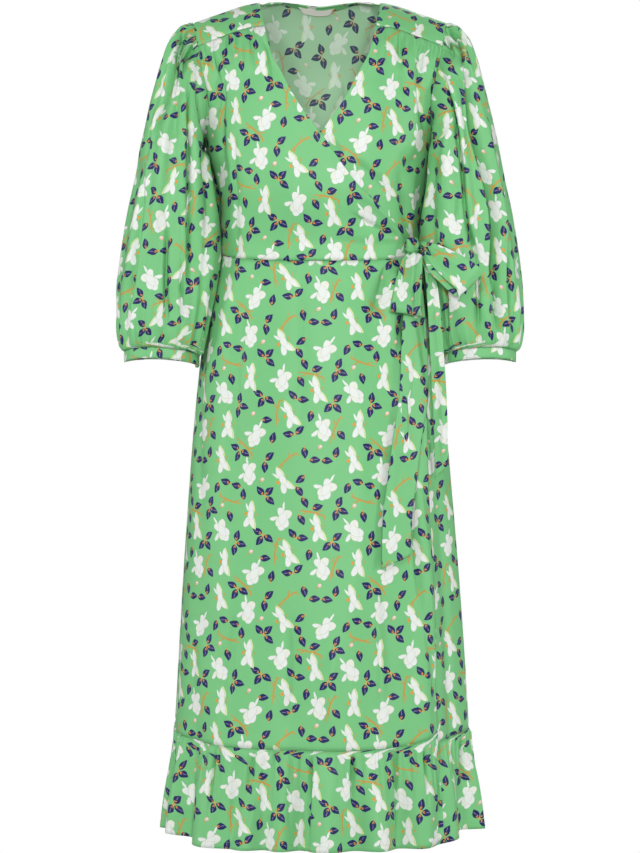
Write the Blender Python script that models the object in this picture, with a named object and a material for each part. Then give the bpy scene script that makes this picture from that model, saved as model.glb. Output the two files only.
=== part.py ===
"""A wrap dress, filled out as it is when worn, with nobody in it.

Metres, +Z up. The front faces -Y, and +X is the wearer's left. The origin lies between the two points where
the shoulders meet the neck, because the dress hangs from there. Every piece is a wall of cloth.

A place on the dress's skin is given by an angle and a height. The angle runs round the body: 0 is the middle
of the front, +90 the wearer's left side, -90 the right side and 180 the middle of the back. The height is z,
before the slope of the shoulders lowers it.
"""

import bmesh
import bpy
import numpy as np

# ---------------------------------------------------------------- driving sizes
WALL = 0.0015                 # thickness of the cloth's wall
THIN = 0.0010                 # thickness of the facing and the label
SEAM_GAP = 0.00036            # room between two pieces that are sewn together
OVER_LIFT = 0.0038            # how far the wrapping front stands off what lies under it
SLEEVE_ROOM = 0.0065          # room between a sleeve and the dress's side

NECK_HALF = 0.086             # from the middle to the neck end of a shoulder
BACK_NECK_DEPTH = 0.030       # how far down the skin the back neckline is cut
NAPE_HALF = 0.070             # half the width of the nape, which the skin climbs
NAPE_FADES = 0.115            # how far from the middle that climb ends
SHOULDER_FALL = 0.345         # slope of the shoulders
FALL_STARTS = 0.0975          # how far from the middle the slope starts
FALL_ROUND = 0.018            # how softly it starts
CAP_HEIGHT = 0.100            # height of the rounded top of the shoulders
CAP_POWER = 1.6
FALL_HEIGHTS = (-0.22, -0.03) # heights over which the slope fades in
NECK_POWER = 1.5              # roundness of the back neckline
YOKE_FRONT = -0.040           # height of the yoke's front seam
YOKE_NECK = 0.078             # from the middle to the neck end of that seam
YOKE_BACK = -0.010            # height of the yoke's back seam
ARMHOLE_HALF = 0.100          # half the armhole's height
ARMHOLE_ANGLE = 56.0          # angle of the armhole's edge, above its middle

WAIST = -0.353                # waist seam at the sides and the back
WAIST_DIP = 0.019             # how much lower it is in front
RUFFLE_SEAM = -1.020
RUFFLE_DIP = 0.024
RUFFLE_CORNER_RISE = 0.014    # how far the tie pulls up the wrapping front's corner
PULLED_CORNER = 24.0          # degrees over which it does
HEM = -1.165                  # the hem at the sides and the back
HEM_DIP = 0.014               # how much lower it is in front
HEM_DIP_SPAN = (0.35, 0.78)   # cosines of the angles where that dip begins and is full
HEM_CORNER_RISE = 0.007
WRAP_WAIST_ANGLE = 59.0       # where the wrapping edge meets the waist seam
WRAP_HEM_ANGLE = 540.0 / 11   # where it meets the ruffle's seam

GATHER_DEPTH = 0.0022
GATHER_PITCH = 6.0            # degrees from one gather under a yoke to the next
GATHERS_SPAN = (20.0, 56.0)   # degrees from the middle of the front where they begin and end
GATHERS_HEIGHTS = (0.060, 0.125)  # how far down they start to fade, and are gone
RUFFLE_WAVES = 21.0
RUFFLE_DEPTH = 0.0105
RUFFLE_STEP = 30.0 / 11       # degrees from one column of a ruffle to the next

# What makes the ruffles' waves uneven: times round the dress, size in radians, start in radians.
WAVE_SWAY = (
    (3, 0.9, 0.6),
    (7, 0.6, 2.0),
)
DEPTH_SWAY = (5, 0.15, 1.0)   # the same for their depth, its size as a share

# Sections of the dress: height, half width, depth in front, depth behind, power of the rounded section.
SECTIONS = (
    (-1.178, 0.2230, 0.1720, 0.1700, 2.1),
    (-1.100, 0.2175, 0.1660, 0.1640, 2.1),
    (-1.060, 0.2125, 0.1610, 0.1590, 2.1),
    (-1.020, 0.2080, 0.1560, 0.1550, 2.1),
    (-0.933, 0.2025, 0.1490, 0.1480, 2.1),
    (-0.763, 0.1920, 0.1370, 0.1370, 2.1),
    (-0.635, 0.1820, 0.1290, 0.1300, 2.1),
    (-0.530, 0.1720, 0.1230, 0.1240, 2.15),
    (-0.440, 0.1600, 0.1150, 0.1120, 2.2),
    (-0.353, 0.1420, 0.1040, 0.0960, 2.2),
    (-0.270, 0.1560, 0.1240, 0.1030, 2.3),
    (-0.200, 0.1620, 0.1200, 0.1050, 2.4),
    (-0.150, 0.1740, 0.1120, 0.1040, 2.4),
    (-0.100, 0.1890, 0.1020, 0.1000, 2.4),
    (0.000, 0.2100, 0.0860, 0.0880, 2.4),
)

# How far the skin climbs towards the nape: height, climb.
NAPE_CLIMB = (
    (-0.100, 0.000),
    (-0.065, 0.015),
    (-0.030, 0.034),
    (0.000, 0.000),
)

# The wrapping front's edge, from the yoke to the waist: x, height.
WRAP_EDGE = (
    (-YOKE_NECK, YOKE_FRONT),
    (-0.0673, -0.0835),
    (-0.0555, -0.1060),
    (-0.0318, -0.1515),
    (0.0027, -0.1990),
    (0.0509, -0.2673),
    (0.0830, -0.2980),
    (0.1015, -0.3184),
    (0.1180, -0.3440),
)

# Where the wrapping front has left the skin in full: height, angle.
FULL_LIFT = (
    (-0.372, -62.0),
    (-0.344, -61.0),
    (-0.318, -49.0),
    (-0.298, -39.0),
    (-0.267, -24.0),
    (-0.199, -7.0),
)
LIFT_SPREAD = 24.0            # degrees over which it leaves the skin
LIFT_HEIGHTS = (0.10, 0.17)   # how far down it starts to leave the skin, and may leave it in full

# Soft upright folds of the skirt: angle, half width in degrees, depth, height where each begins.
SKIRT_FOLDS = (
    (-84, 7, -0.0050, -0.60),
    (-55, 6, -0.0045, -0.75),
    (-36, 7, 0.0050, -0.70),
    (-12, 9, -0.0040, -0.80),
    (8, 7, 0.0050, -0.72),
    (26, 6, -0.0050, -0.66),
    (42, 5, 0.0065, -0.48),
    (62, 5, -0.0060, -0.44),
    (80, 6, 0.0050, -0.52),
    (104, 7, -0.0050, -0.55),
    (124, 7, 0.0060, -0.62),
    (147, 8, -0.0050, -0.58),
    (166, 7, 0.0055, -0.70),
    (188, 8, -0.0045, -0.66),
    (208, 7, 0.0060, -0.60),
    (229, 7, -0.0055, -0.72),
    (252, 7, 0.0050, -0.58),
)

# A sleeve, from its armhole to its cuff: share of the way down, the outer line's x and z, the inner line's
# x and z, half depth, and y of the middle.
SLEEVE_LINES = (
    (0.000, 0.1780, -0.0340, 0.1620, -0.2000, 0.060, 0.000),
    (0.050, 0.1930, -0.0360, 0.1650, -0.2060, 0.067, -0.003),
    (0.110, 0.2090, -0.0495, 0.1640, -0.2120, 0.074, -0.008),
    (0.180, 0.2220, -0.0800, 0.1580, -0.2200, 0.077, -0.013),
    (0.280, 0.2335, -0.1260, 0.1500, -0.2380, 0.077, -0.018),
    (0.400, 0.2475, -0.1850, 0.1420, -0.2660, 0.074, -0.022),
    (0.540, 0.2635, -0.2650, 0.1370, -0.3080, 0.071, -0.025),
    (0.680, 0.2775, -0.3400, 0.1370, -0.3560, 0.069, -0.027),
    (0.820, 0.2850, -0.4100, 0.1420, -0.4140, 0.066, -0.028),
    (0.920, 0.2850, -0.4600, 0.1510, -0.4680, 0.061, -0.028),
    (0.970, 0.2815, -0.4850, 0.1590, -0.4950, 0.054, -0.028),
    (1.000, 0.2775, -0.4960, 0.1670, -0.5040, 0.048, -0.028),
)

# Folds of a sleeve: angle round it (0 outside, 90 front), half width in degrees, depth, and the shares of
# the way down where each begins and ends.
SLEEVE_FOLDS = (
    (-52, 8, -0.0060, 0.00, 0.42),
    (-31, 7, -0.0075, 0.00, 0.34),
    (-10, 6, -0.0060, 0.00, 0.26),
    (12, 6, -0.0070, 0.00, 0.30),
    (33, 7, -0.0085, 0.00, 0.46),
    (55, 8, -0.0070, 0.00, 0.40),
    (76, 9, -0.0080, 0.05, 0.95),
    (44, 9, 0.0060, 0.30, 0.92),
    (20, 10, -0.0055, 0.45, 0.97),
    (104, 9, 0.0060, 0.20, 0.90),
    (130, 9, -0.0060, 0.30, 0.98),
    (-38, 10, 0.0060, 0.40, 0.95),
    (-72, 9, -0.0065, 0.20, 0.96),
    (-100, 9, 0.0055, 0.25, 0.90),
    (-128, 9, -0.0055, 0.35, 0.97),
)
FOLD_STARTS = (-0.02, 0.10)   # shares past its beginning over which a fold deepens
FOLD_FADES = 0.25             # share over which it fades, up to its end
CUFF_GATHERS = 16
CUFF_GATHER_DEPTH = 0.0026
CUFF_GATHERS_SPAN = (0.72, 0.95, 0.97)  # shares where they begin, are full and start to end at the cuff
CUFF_HEIGHT = 0.0150
CUFF_ARCH = 0.0085            # how much higher a cuff is in front and behind
CUFF_ARCH_STARTS = 0.80       # the share of the way down where the sleeve starts to follow it
INNER_SQUARE = 0.7            # under 1, squares a sleeve's section towards the dress
OUTER_SQUARE = 0.92
SLEEVE_HEAD = 0.22            # share of a sleeve that turns from the armhole's shape into its own
SIDE_STARTS = -0.12           # height under which a sleeve keeps clear of the dress's side
ROW_CROWDING = 1.15           # over 1, crowds a sleeve's rows towards its head

# The bow's pieces: x and z of one edge, x and z of the other, room in front of the dress, least reach.
KNOT_PLACE = (54.5, -0.3475)  # angle and height of the knot on the dress
KNOT_HALF = (0.0115, 0.0100, 0.0110)  # along the dress, away from it, and up
KNOT_FOLDS = (3, 0.10, 0.5)   # folds round the knot, their depth as a share, where they start in radians
KNOT_SQUARE = (0.6, 0.7)      # under 1, squares the knot across and up
HANGING_LOOP = (
    (0.1220, -0.3602, 0.1345, -0.3602, 0.0160, 0.0790),
    (0.1140, -0.3680, 0.1425, -0.3670, 0.0220, 0.0870),
    (0.1050, -0.3980, 0.1415, -0.3990, 0.0245, 0.0930),
    (0.0975, -0.4340, 0.1395, -0.4390, 0.0250, 0.0940),
    (0.0965, -0.4410, 0.1390, -0.4460, 0.0205, 0.0900),
    (0.0975, -0.4350, 0.1395, -0.4400, 0.0162, 0.0860),
    (0.1055, -0.3980, 0.1415, -0.3980, 0.0158, 0.0840),
    (0.1150, -0.3700, 0.1420, -0.3690, 0.0150, 0.0790),
    (0.1230, -0.3602, 0.1345, -0.3602, 0.0110, 0.0735),
)
SIDE_LOOP = (
    (0.1409, -0.3430, 0.1409, -0.3540, 0.0000, 0.0780),
    (0.1600, -0.3480, 0.1530, -0.3760, 0.0000, 0.0990),
    (0.1900, -0.3620, 0.1710, -0.3960, 0.0000, 0.1130),
    (0.2190, -0.3810, 0.1885, -0.4130, 0.0000, 0.1190),
    (0.2260, -0.3910, 0.1925, -0.4230, 0.0000, 0.1130),
    (0.2190, -0.3850, 0.1870, -0.4210, 0.0000, 0.1065),
    (0.1880, -0.3660, 0.1680, -0.4040, 0.0000, 0.1030),
    (0.1600, -0.3540, 0.1510, -0.3840, 0.0000, 0.0920),
    (0.1411, -0.3440, 0.1411, -0.3545, 0.0000, 0.0720),
)
LONG_TAIL = (
    (0.1235, -0.3600, 0.1320, -0.3600, 0.0070, 0.0698),
    (0.1190, -0.3850, 0.1400, -0.3850, 0.0082, 0.0660),
    (0.1130, -0.4700, 0.1480, -0.4700, 0.0086, 0.0700),
    (0.1090, -0.5530, 0.1500, -0.5500, 0.0088, 0.0740),
    (0.1010, -0.6090, 0.1420, -0.6060, 0.0088, 0.0760),
    (0.0925, -0.6750, 0.1335, -0.6720, 0.0088, 0.0780),
    (0.0860, -0.7270, 0.1265, -0.7260, 0.0088, 0.0800),
    (0.0842, -0.7960, 0.1240, -0.7780, 0.0088, 0.0800),
)
SHORT_TAIL = (
    (0.1325, -0.3602, 0.1380, -0.3602, 0.0060, 0.0680),
    (0.1425, -0.3720, 0.1505, -0.3710, 0.0060, 0.0760),
    (0.1460, -0.3900, 0.1600, -0.3900, 0.0060, 0.0830),
    (0.1490, -0.4300, 0.1660, -0.4300, 0.0060, 0.0890),
    (0.1530, -0.5000, 0.1720, -0.5000, 0.0060, 0.0880),
    (0.1560, -0.5600, 0.1760, -0.5580, 0.0060, 0.0820),
    (0.1590, -0.6180, 0.1780, -0.6160, 0.0060, 0.0760),
    (0.1600, -0.6720, 0.1770, -0.6560, 0.0060, 0.0720),
)

# Columns and rows of the pieces' grids.
FRONT_COLUMNS = 24
UNDER_COLUMNS = 22
BACK_COLUMNS = 24
SIDE_SEAM_ROWS = 4
ARMHOLE_ROWS = 10
YOKE_ROWS = 10
YOKE_COLUMNS = 8
SKIRT_ROWS = 8
RUFFLE_ROWS = 4
SLEEVE_ROWS = 16
NECK_COLUMNS = 6              # columns of the back on each side of its middle that meet the neckline
FACING_ROWS = (0.56, 0.30, 0.04)  # rows of the facing, as rows of the back below its neckline
LABEL_ROWS = (0.15, 1.0, 1.8) # rows of the label, as rows of the facing
LABEL_HALF_COLUMNS = 1.7      # half the label's width, in the back's columns

GREEN = (0.170, 0.560, 0.200, 1.0)
CREAM = (0.800, 0.760, 0.660, 1.0)


# ---------------------------------------------------------------- small tools
def smooth(low, high, value):
    """From 0 at low to 1 at high, level at both ends."""
    share = np.clip((value - low) / (high - low), 0.0, 1.0)
    return share * share * (3.0 - 2.0 * share)


def through(keys, values, at):
    """A smooth curve through the points (keys rise), which never swings past them."""
    keys, values, at = np.asarray(keys, float), np.asarray(values, float), np.asarray(at, float)
    steps = np.diff(keys)
    slopes = np.diff(values) / steps
    tangents = np.empty_like(values)
    tangents[0], tangents[-1] = slopes[0], slopes[-1]
    before, after = slopes[:-1], slopes[1:]
    same_way = before * after > 0
    tangents[1:-1] = np.where(same_way, 2 * before * after / np.where(same_way, before + after, 1.0), 0.0)
    i = np.clip(np.searchsorted(keys, at) - 1, 0, len(steps) - 1)
    t = np.clip((at - keys[i]) / steps[i], 0.0, 1.0)
    rise = values[i] + (values[i + 1] - values[i]) * t * t * (3 - 2 * t)
    return rise + steps[i] * (tangents[i] * t * (1 - t) ** 2 - tangents[i + 1] * t * t * (1 - t))


def column(table, index):
    return [row[index] for row in table]


def unit(vectors):
    return vectors / np.maximum(np.linalg.norm(vectors, axis=-1, keepdims=True), 1e-12)


# ---------------------------------------------------------------- the skin
def section(height):
    """Half width, depth in front, depth behind and power of the section at each height."""
    return [through(column(SECTIONS, 0), column(SECTIONS, i), height) for i in (1, 2, 3, 4)]


def cap(height):
    """1 below the shoulders' rounded top, and 0 on their ridge."""
    share = np.clip((height + CAP_HEIGHT) / CAP_HEIGHT, 0.0, 1.0)
    return (1.0 - share**CAP_POWER) ** (1.0 / CAP_POWER)


def angle_at(x, height):
    """The front's angle where the skin is x from the middle."""
    half, _, _, power = section(height)
    share = np.clip(np.abs(x) / half, 0.0, 1.0) ** (power / 2)
    return np.sign(x) * np.degrees(np.arcsin(share))


def yoke_gathers(angle, height):
    """Gathers that hang from the yokes' front seams."""
    side = np.abs(angle)
    first, last = GATHERS_SPAN
    fade = smooth(-YOKE_FRONT, -YOKE_FRONT + 0.012, -height) * (1 - smooth(*GATHERS_HEIGHTS, -height))
    span = smooth(first, first + 5.0, side) * (1 - smooth(last - 4.0, last, side))
    return GATHER_DEPTH * np.sin(np.radians((side - first) * 360 / GATHER_PITCH)) * fade * span


def swelling(angle, height):
    """How far the gathers, the skirt's folds and the ruffles' waves stand out."""
    swell = np.zeros(np.broadcast(angle, height).shape)
    for place, width, depth, begins in SKIRT_FOLDS:
        away = (angle - place + 180.0) % 360.0 - 180.0
        swell = swell + depth * np.exp(-((away / width) ** 2)) * smooth(-begins, 1.0, -height)
    a = np.radians(angle)
    phase = RUFFLE_WAVES * a + sum(size * np.sin(times * a + start) for times, size, start in WAVE_SWAY)
    times, size, start = DEPTH_SWAY
    depth = RUFFLE_DEPTH * (1.0 - size + 2 * size * np.sin(times * a + start))
    swell = swell + yoke_gathers(angle, height)
    return swell + depth * np.sin(phase) * smooth(-RUFFLE_SEAM + 0.002, -HEM, -height) ** 0.8


def form(angle, height):
    """The skin itself, as points."""
    angle, height = np.broadcast_arrays(np.asarray(angle, float), np.asarray(height, float))
    half, front, back, power = section(height)
    a = np.radians(angle)
    s, c = np.sin(a), np.cos(a)
    depth = np.where(c >= 0, front, back) * cap(height)
    x = half * np.sign(s) * np.abs(s) ** (2 / power)
    y = -depth * np.sign(c) * np.abs(c) ** (2 / power)
    outward = unit(np.stack([s / half, -c / np.maximum(depth, 1e-4)], axis=-1))
    swell = swelling(angle, height)
    x, y = x + swell * outward[..., 0], y + swell * outward[..., 1]
    past = np.abs(x) - FALL_STARTS
    softened = np.clip(past + FALL_ROUND, 0.0, None) ** 2 / (4 * FALL_ROUND)
    fall = SHOULDER_FALL * np.where(past > FALL_ROUND, past, softened) * smooth(*FALL_HEIGHTS, height)
    climb = through(column(NAPE_CLIMB, 0), column(NAPE_CLIMB, 1), height) * (c < 0)
    climb = climb * (1 - smooth(NAPE_HALF, NAPE_FADES, np.abs(x)))
    return np.stack([x, y, height - fall + climb], axis=-1)


def skin(angle, height, lift=0.0):
    """Points that stand off the skin by lift, along its normals."""
    angle, height = np.broadcast_arrays(np.asarray(angle, float), np.asarray(height, float))
    turn, rise = 0.4, 0.0012
    top = np.minimum(height + rise, -1e-5)
    around = form(angle + turn, height) - form(angle - turn, height)
    upward = form(angle, top) - form(angle, np.minimum(height, -1e-5 - rise) - rise)
    normal = unit(np.cross(around, upward))
    return form(angle, height) + normal * np.asarray(lift)[..., None]


def waist_seam(angle):
    return WAIST - WAIST_DIP * np.maximum(np.cos(np.radians(angle)), 0.0) ** 0.8


def pulled_up(angle):
    """From 0 to 1 towards the wrapping front's free corner, which the tie pulls up."""
    return np.clip((angle - WRAP_HEM_ANGLE) / PULLED_CORNER + 1.0, 0.0, 1.0) ** 2


def ruffle_seam(angle, corner=0.0):
    """Height of the ruffle's seam; corner is 1 for the wrapping front."""
    dip = RUFFLE_DIP * np.maximum(np.cos(np.radians(angle)), 0.0) ** 0.8
    return RUFFLE_SEAM - dip + corner * RUFFLE_CORNER_RISE * pulled_up(angle)


def armhole_angle(around):
    """The skin's angle on the armhole's edge; around is 0 on the shoulder and 180 under the arm."""
    lower = np.where(np.cos(np.radians(around)) > 0, 1.0, np.abs(np.sin(np.radians(around))))
    return 90.0 - (90.0 - ARMHOLE_ANGLE) * lower


def armhole_height(around):
    return -ARMHOLE_HALF * (1.0 - np.cos(np.radians(around)))


def around_at(height):
    """The armhole's own angle at a height, in front."""
    return float(np.degrees(np.arccos(1.0 + height / ARMHOLE_HALF)))


# ---------------------------------------------------------------- solids
def material(name, colour, roughness):
    made = bpy.data.materials.new(name)
    made.use_nodes = True
    shader = made.node_tree.nodes["Principled BSDF"]
    shader.inputs["Base Color"].default_value = colour
    shader.inputs["Roughness"].default_value = roughness
    shader.inputs["Metallic"].default_value = 0.0
    return made


def solid(name, points, faces, colour):
    """One closed body with its faces pointing out."""
    mesh = bpy.data.meshes.new(name)
    mesh.from_pydata([tuple(p) for p in points], [], faces)
    work = bmesh.new()
    work.from_mesh(mesh)
    bmesh.ops.triangulate(work, faces=work.faces[:])
    bmesh.ops.recalc_face_normals(work, faces=work.faces[:])
    work.to_mesh(mesh)
    work.free()
    mesh.shade_smooth()
    mesh.set_sharp_from_angle(angle=np.radians(50))
    mesh.materials.append(material(name, colour, 0.55))
    body = bpy.data.objects.new(name, mesh)
    bpy.context.scene.collection.objects.link(body)
    return body


def part_from_seams(grid, closed):
    """Draws a grid's free edges in by half the room that a seam has."""
    grid = grid.copy()
    trim = SEAM_GAP / 2
    first = grid[0] + unit(grid[1] - grid[0]) * trim
    last = grid[-1] + unit(grid[-2] - grid[-1]) * trim
    grid[0], grid[-1] = first, last
    if not closed:
        left = grid[:, 0] + unit(grid[:, 1] - grid[:, 0]) * trim
        right = grid[:, -1] + unit(grid[:, -2] - grid[:, -1]) * trim
        grid[:, 0], grid[:, -1] = left, right
    return grid


def wall(name, outer, inner, colour=GREEN, closed=False):
    """A wall of cloth between two grids of points; closed joins the last column to the first."""
    outer, inner = part_from_seams(outer, closed), part_from_seams(inner, closed)
    rows, columns = outer.shape[:2]
    count = rows * columns
    last = columns if closed else columns - 1

    def at(row, col, side):
        return side * count + row * columns + col % columns

    faces = []
    for side in (0, 1):
        for r in range(rows - 1):
            for c in range(last):
                near, far = (r, c, side), (r + 1, c + 1, side)
                faces.append([at(*near), at(r, c + 1, side), at(*far), at(r + 1, c, side)])
    for r in (0, rows - 1):
        for c in range(last):
            faces.append([at(r, c, 0), at(r, c + 1, 0), at(r, c + 1, 1), at(r, c, 1)])
    if not closed:
        for c in (0, columns - 1):
            for r in range(rows - 1):
                faces.append([at(r, c, 0), at(r + 1, c, 0), at(r + 1, c, 1), at(r, c, 1)])
    points = np.concatenate([outer.reshape(-1, 3), inner.reshape(-1, 3)])
    return solid(name, points, faces, colour)


def normals(grid, closed):
    """Normals of a grid of points, from its neighbours."""
    if closed:
        across = np.roll(grid, -1, axis=1) - np.roll(grid, 1, axis=1)
    else:
        across = np.gradient(grid, axis=1)
    return unit(np.cross(across, np.gradient(grid, axis=0)))


def patch(bottom, top, left, right):
    """A grid spanned between four edges, each a list of places (angle, height)."""
    v = np.linspace(0, 1, len(left))[:, None, None]
    u = np.linspace(0, 1, len(bottom))[None, :, None]
    between_sides = left[:, None] * (1 - u) + right[:, None] * u
    between_ends = bottom[None] * (1 - v) + top[None] * v
    corners = (bottom[0] * (1 - u) + bottom[-1] * u) * (1 - v) + (top[0] * (1 - u) + top[-1] * u) * v
    return between_sides + between_ends - corners


def panel(name, on_skin, lift=0.0):
    """A wall over a grid of places on the skin; returns its inner face."""
    angle, height = on_skin[..., 0], on_skin[..., 1]
    inner = skin(angle, height, lift - WALL)
    wall(name, skin(angle, height, lift), inner)
    return inner


def over_lift(angle, height):
    """How far the wrapping front stands off the skin, so that the other front fits beneath it."""
    full = through(column(FULL_LIFT, 0), column(FULL_LIFT, 1), height)
    return OVER_LIFT * smooth(full - LIFT_SPREAD, full, angle) * smooth(*LIFT_HEIGHTS, -height)


# ---------------------------------------------------------------- bodice
def places(angle, height):
    return np.stack(np.broadcast_arrays(np.asarray(angle, float), np.asarray(height, float)), axis=-1)


def side_and_armhole(top_around):
    """The edge from the waist up the side seam and round the armhole to a yoke."""
    seam_heights = np.linspace(WAIST, armhole_height(180.0), SIDE_SEAM_ROWS + 1)[:-1]
    around = np.linspace(180.0, top_around, ARMHOLE_ROWS + 1)
    side = places(90.0, seam_heights)
    return np.concatenate([side, places(armhole_angle(around), armhole_height(around))])


def wrap_edge(rows):
    """The wrapping front's edge from the waist to the yoke, at the heights of its side's rows."""
    heights = np.linspace(waist_seam(WRAP_WAIST_ANGLE), YOKE_FRONT, rows)
    table = WRAP_EDGE[::-1]
    x = through(column(table, 1), column(table, 0), heights)
    edge = places(angle_at(x, heights), heights)
    edge[0, 0] = WRAP_WAIST_ANGLE
    return edge


def bodice_front(columns):
    """Places of a front that wraps from the side at -90 degrees past the middle."""
    left = side_and_armhole(around_at(YOKE_FRONT)) * (-1.0, 1.0)
    right = wrap_edge(len(left))
    bottom_angle = np.linspace(-90.0, right[0, 0], columns + 1)
    bottom = places(bottom_angle, waist_seam(bottom_angle))
    top = places(np.linspace(left[-1, 0], right[-1, 0], columns + 1), YOKE_FRONT)
    return patch(bottom, top, left, right)


def back_neckline(x_share):
    """A place on the back neckline, from 0 in the middle to 1 at the neck end of the shoulder."""
    x = NECK_HALF * x_share
    height = -BACK_NECK_DEPTH * (1.0 - x_share**NECK_POWER) ** (1 / NECK_POWER)
    return places(180.0 - angle_at(x, height), height)


def neck_share_at(height):
    """How far out the back neckline is at a height."""
    return (1.0 - (height / -BACK_NECK_DEPTH) ** NECK_POWER) ** (1 / NECK_POWER)


def build_bodice():
    over = bodice_front(FRONT_COLUMNS)
    panel("bodice_front_over", over, over_lift(over[..., 0], over[..., 1]))
    under = bodice_front(UNDER_COLUMNS)[:, ::-1] * (-1.0, 1.0)
    panel("bodice_front_under", under)

    side = side_and_armhole(around_at(YOKE_BACK))
    left = side * (-1.0, 1.0) + (180.0, 0.0)
    left[:, 0] = 180.0 - side[:, 0]
    right = left * (-1.0, 1.0) + (360.0, 0.0)
    shoulder = BACK_COLUMNS // 2 - NECK_COLUMNS
    corner = neck_share_at(YOKE_BACK)
    corner_angle = 180.0 - float(angle_at(NECK_HALF * corner, YOKE_BACK))
    ends = places(np.linspace(left[-1, 0], corner_angle, shoulder + 1)[:-1], YOKE_BACK)
    curve = back_neckline(corner * np.linspace(1.0, 0.0, NECK_COLUMNS + 1))
    half_top = np.concatenate([ends, curve])
    top = np.concatenate([half_top, half_top[::-1][1:] * (-1.0, 1.0) + (360.0, 0.0)])
    bottom_angle = np.linspace(90.0, 270.0, BACK_COLUMNS + 1)
    bottom = places(bottom_angle, waist_seam(bottom_angle))
    return panel("bodice_back", patch(bottom, top, left, right))


def build_yokes():
    """A yoke crosses the shoulder, from its seam in front to its seam behind."""
    front, back = around_at(YOKE_FRONT), around_at(YOKE_BACK)
    around = np.linspace(front, -back, YOKE_ROWS + 1)
    height = armhole_height(around)
    neck_front = angle_at(through((YOKE_FRONT, 0.0), (YOKE_NECK, NECK_HALF), height), height)
    neck_back = angle_at(NECK_HALF * neck_share_at(np.maximum(height, -BACK_NECK_DEPTH)), height)
    neck = np.where(around > 0, neck_front, 180.0 - neck_back)
    arm = np.where(around > 0, armhole_angle(around), 180.0 - armhole_angle(around))
    for name, side in (("yoke_left", 1.0), ("yoke_right", -1.0)):
        u = np.linspace(0, 1, YOKE_COLUMNS + 1)[None, :]
        angle = neck[:, None] * (1 - u) + arm[:, None] * u
        panel(name, places(angle * side, np.repeat(height[:, None], YOKE_COLUMNS + 1, axis=1)))


# ---------------------------------------------------------------- skirt and ruffles
def build_skirt():
    v = np.linspace(0, 1, SKIRT_ROWS + 1)
    edge_angle = WRAP_HEM_ANGLE + (WRAP_WAIST_ANGLE - WRAP_HEM_ANGLE) * v**2

    def spread(name, start, end, columns, corner=0.0, over=0.0):
        """A skirt panel between two lines of angles, from the ruffle's seam up to the waist."""
        u = np.linspace(0, 1, columns + 1)[None, :]
        angle = start[:, None] * (1 - u) + end[:, None] * u
        low, high = ruffle_seam(angle, corner), waist_seam(angle)
        height = low * (1 - v[:, None]) + high * v[:, None]
        panel(name, places(angle, height), over * over_lift(angle, height))

    side = np.full_like(v, 90.0)
    spread("skirt_front_over", -side, edge_angle, FRONT_COLUMNS, corner=1.0, over=1.0)
    spread("skirt_front_under", -edge_angle, side, UNDER_COLUMNS)
    spread("skirt_back", side, 3 * side, BACK_COLUMNS)


def build_ruffles():
    def ruffle(name, first, last, corner=0.0, over=0.0):
        """A ruffle between two of the columns that all three share."""
        angle = np.arange(first, last + 1) * RUFFLE_STEP
        v = np.linspace(0, 1, RUFFLE_ROWS + 1)[:, None]
        front = smooth(*HEM_DIP_SPAN, np.cos(np.radians(angle)))
        hem = HEM - HEM_DIP * front + corner * HEM_CORNER_RISE * pulled_up(angle)
        height = hem * (1 - v) + ruffle_seam(angle, corner) * v
        angles = np.repeat(angle[None, :], RUFFLE_ROWS + 1, axis=0)
        panel(name, places(angles, height), over * over_lift(angles, height))

    side, wrap = round(90.0 / RUFFLE_STEP), round(WRAP_HEM_ANGLE / RUFFLE_STEP)
    ruffle("ruffle_over", -side, wrap, corner=1.0, over=1.0)
    ruffle("ruffle_under", -wrap, side)
    ruffle("ruffle_back", side, 3 * side)


# ---------------------------------------------------------------- sleeves
def sleeve_columns():
    """Angles round a sleeve: the rows of the yoke, the front and the back that meet it."""
    front, back = around_at(YOKE_FRONT), around_at(YOKE_BACK)
    over_yoke = np.linspace(-back, front, YOKE_ROWS + 1)[:-1]
    in_front = np.linspace(front, 180.0, ARMHOLE_ROWS + 1)[:-1]
    behind = np.linspace(180.0, 360.0 - back, ARMHOLE_ROWS + 1)[:-1]
    return np.concatenate([over_yoke, in_front, behind])


def armhole(around):
    """Points of the armhole's edge on the wearer's left."""
    front = np.sin(np.radians(around)) >= 0
    angle = armhole_angle(around)
    return skin(np.where(front, angle, 180.0 - angle), np.minimum(armhole_height(around), -1e-6))


def sleeve_ring(share, around):
    """The plain form of a sleeve."""
    table = SLEEVE_LINES
    outer_x, outer_z, inner_x, inner_z, depth, middle = (
        through(column(table, 0), column(table, i), share)[:, None] for i in range(1, 7)
    )
    a = np.radians(around)[None, :]
    squared = np.where(np.cos(a) < 0, 1 - (1 - INNER_SQUARE) * smooth(0.0, 0.3, share[:, None]), 1.0)
    swing = (1 + np.sign(np.cos(a)) * np.abs(np.cos(a)) ** squared) / 2
    round_out = np.sign(np.sin(a)) * np.abs(np.sin(a)) ** OUTER_SQUARE
    x = inner_x + (outer_x - inner_x) * swing
    z = inner_z + (outer_z - inner_z) * swing
    y = middle - depth * round_out
    return np.stack([x, y, z], axis=-1)


def sleeve_relief(share, around):
    """How far a sleeve's folds and gathers stand out."""
    share, a = share[:, None], around[None, :]
    relief = np.zeros(np.broadcast(share, a).shape)
    for place, width, depth, begins, ends in SLEEVE_FOLDS:
        away = (a - place + 180.0) % 360.0 - 180.0
        deepens = smooth(begins + FOLD_STARTS[0], begins + FOLD_STARTS[1], share)
        fades = 1 - smooth(ends - FOLD_FADES, ends, share)
        relief = relief + depth * np.exp(-((away / width) ** 2)) * deepens * fades
    gathers = np.sin(np.radians(a) * CUFF_GATHERS + np.sin(np.radians(a) * 3))
    begin, full, end = CUFF_GATHERS_SPAN
    near_cuff = smooth(begin, full, share) * (1 - smooth(end, 1.0, share))
    return relief + CUFF_GATHER_DEPTH * gathers * near_cuff


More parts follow.
